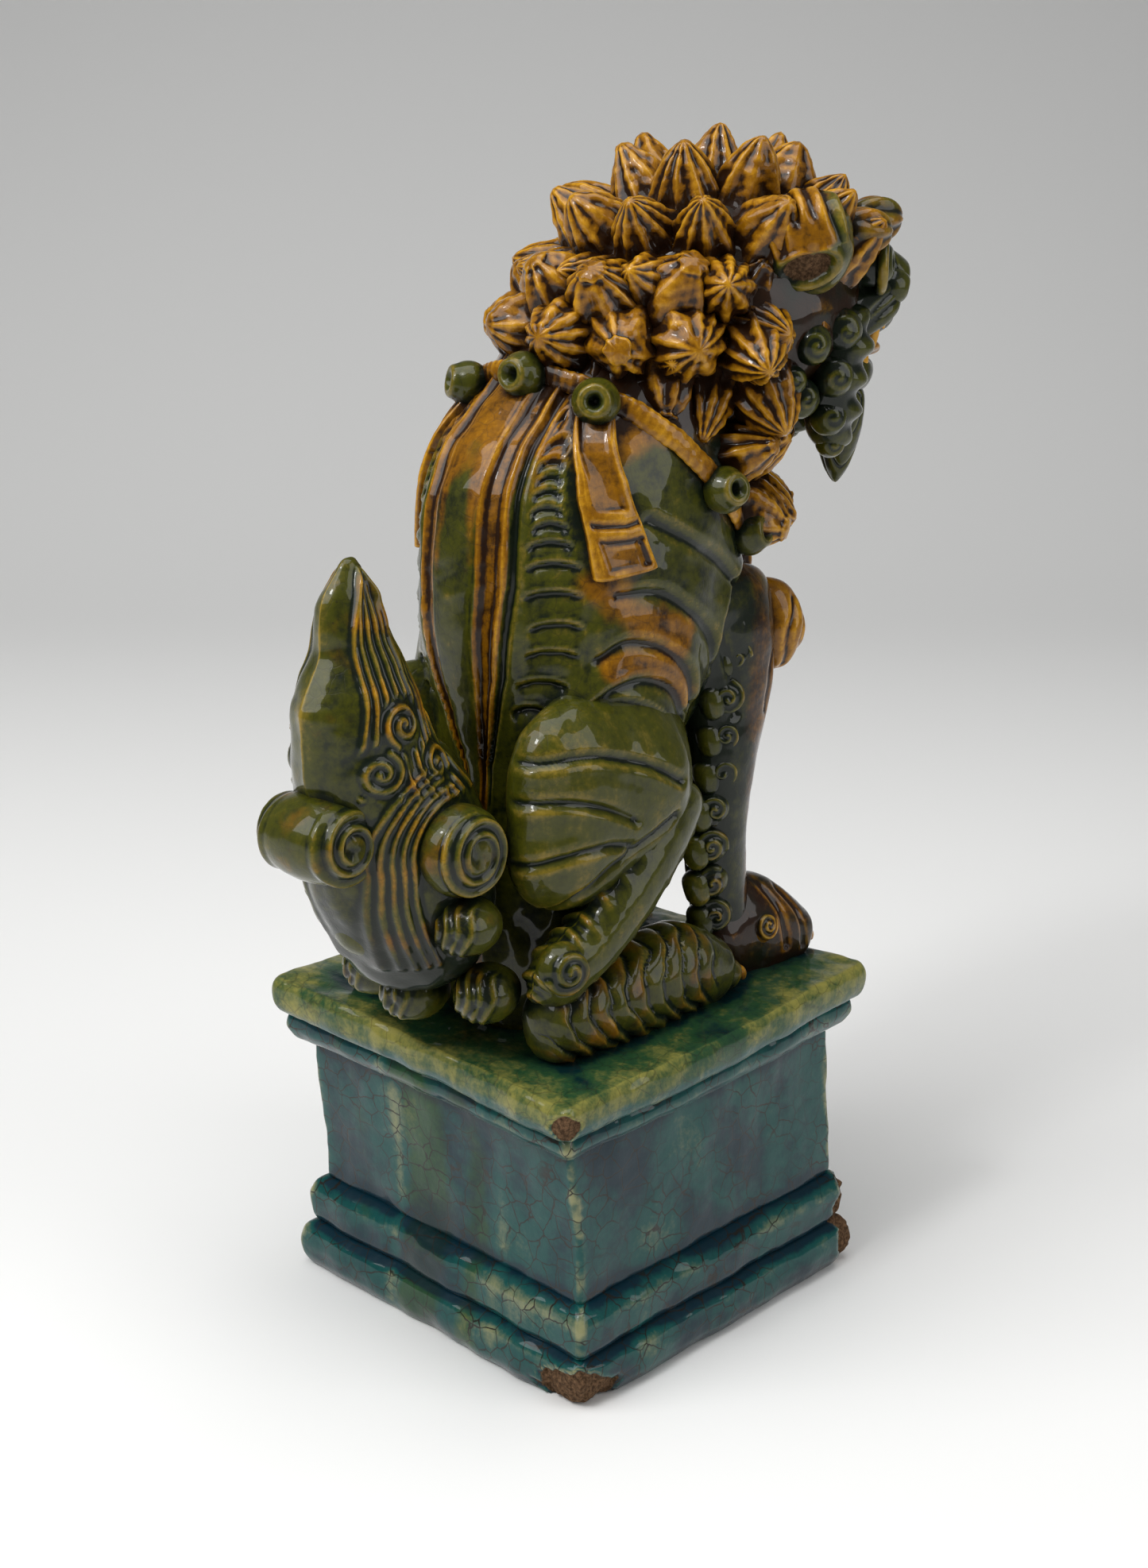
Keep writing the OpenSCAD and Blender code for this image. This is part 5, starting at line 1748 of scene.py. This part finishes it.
def stage():
    """A pale floor that curves up behind, four lights and the camera."""
    look = settings("stage")
    back, right, up = camera_axes()
    behind = unit(-back * [1, 1, 0])
    run = np.linspace(-3.0, 3.0, 90)
    rise = np.where(run > 0.9, 1.6 * (1 - np.cos(np.minimum((run - 0.9) / 1.6, 1) * math.pi / 2)), 0)
    spread = np.linspace(-3.5, 3.5, 12)
    ground = behind * run[:, None, None] + right * spread[None, :, None]
    ground = ground + np.array([0, 0, 1.0]) * rise[:, None, None]
    index = np.arange(ground.shape[0] * ground.shape[1]).reshape(ground.shape[:2])
    faces = np.stack([index[:-1, :-1], index[:-1, 1:], index[1:, 1:], index[1:, :-1]], -1).reshape(-1, 4)
    mesh = bpy.data.meshes.new("floor")
    mesh.from_pydata(ground.reshape(-1, 3).tolist(), [], faces.tolist())
    mesh.polygons.foreach_set("use_smooth", np.ones(len(faces), bool))
    floor = bpy.data.objects.new("floor", mesh)
    bpy.context.collection.objects.link(floor)
    paper = bpy.data.materials.new("paper")
    paper.use_nodes = True
    inputs = paper.node_tree.nodes["Principled BSDF"].inputs
    inputs["Base Color"].default_value = (0.86, 0.86, 0.85, 1)
    inputs["Roughness"].default_value = 0.9
    mesh.materials.append(paper)
    target = np.array([0, 0, 0.2])
    # Each light's name, how far it is to the left, back and up, its size, and its share of the power.
    lights = [("key", (0.9, 0.55, 0.75), (1.1, 1.1), 0.95), ("fill", (-1.0, 0.5, 0.35), (0.7, 1.1), 0.35),
              ("top", (0.0, 0.1, 1.1), (1.0, 1.0), 0.6), ("spark", (0.7, 0.8, 0.95), (0.22, 0.22), 0.3)]
    for name, (aside, rear, above), size, share in lights:
        place = target - aside * right + rear * back + np.array([0, 0, above])
        area_light(name, place, target, size, look.key_power * share)
    world = bpy.data.worlds.new("studio")
    world.use_nodes = True
    world.node_tree.nodes["Background"].inputs["Color"].default_value = (1, 1, 1, 1)
    world.node_tree.nodes["Background"].inputs["Strength"].default_value = 0.10
    bpy.context.scene.world = world
    bpy.context.scene.view_settings.view_transform = "Standard"
    camera = bpy.data.cameras.new("camera")
    camera.lens = look.lens
    camera.sensor_width = 36.0
    camera.clip_start = 0.05
    eye = bpy.data.objects.new("camera", camera)
    place = back * look.distance + right * 0.000889 + up * look.aim_height
    eye.matrix_world = [(*column, 0) for column in (right, up, back)] + [(*place, 1)]
    bpy.context.collection.objects.link(eye)
    bpy.context.scene.camera = eye


class STATUE_PT_panel(bpy.types.Panel):
    """Lists the statue's pieces and settings"""

    bl_idname = "STATUE_PT_panel"
    bl_label = "Guardian lion"
    bl_space_type = "VIEW_3D"
    bl_region_type = "UI"
    bl_category = "Lion"

    def draw(self, context):
        for operator in OPERATORS:
            self.layout.operator(operator.bl_idname)
        for name, group in GROUPS.items():
            box = self.layout.box()
            box.label(text=group.__doc__)
            for key in group.__annotations__:
                box.prop(getattr(context.scene, "statue_" + name), key)


GROUPS = {"glazes": StatueGlazes, "carving": StatueCarving, "stage": StatueStage}
OPERATORS = [STATUE_OT_plinth, STATUE_OT_torso, STATUE_OT_legs, STATUE_OT_tail, STATUE_OT_head,
             STATUE_OT_mane, STATUE_OT_collar, STATUE_OT_crevice_shade_and_pools, STATUE_OT_stage]


def register():
    """Registers the settings, the operators and the panel."""
    for name, group in GROUPS.items():
        bpy.utils.register_class(group)
        setattr(bpy.types.Scene, "statue_" + name, bpy.props.PointerProperty(type=group))
    for cls in [*OPERATORS, STATUE_PT_panel]:
        bpy.utils.register_class(cls)


def unregister():
    """Takes them away again."""
    for cls in reversed([*OPERATORS, STATUE_PT_panel]):
        bpy.utils.unregister_class(cls)
    for name, group in GROUPS.items():
        delattr(bpy.types.Scene, "statue_" + name)
        bpy.utils.unregister_class(group)


def main():
    """Makes every piece and the stage."""
    register()
    for operator in OPERATORS:
        family, name = operator.bl_idname.split(".")
        getattr(getattr(bpy.ops, family), name)()


if __name__ == "__main__":
    main()
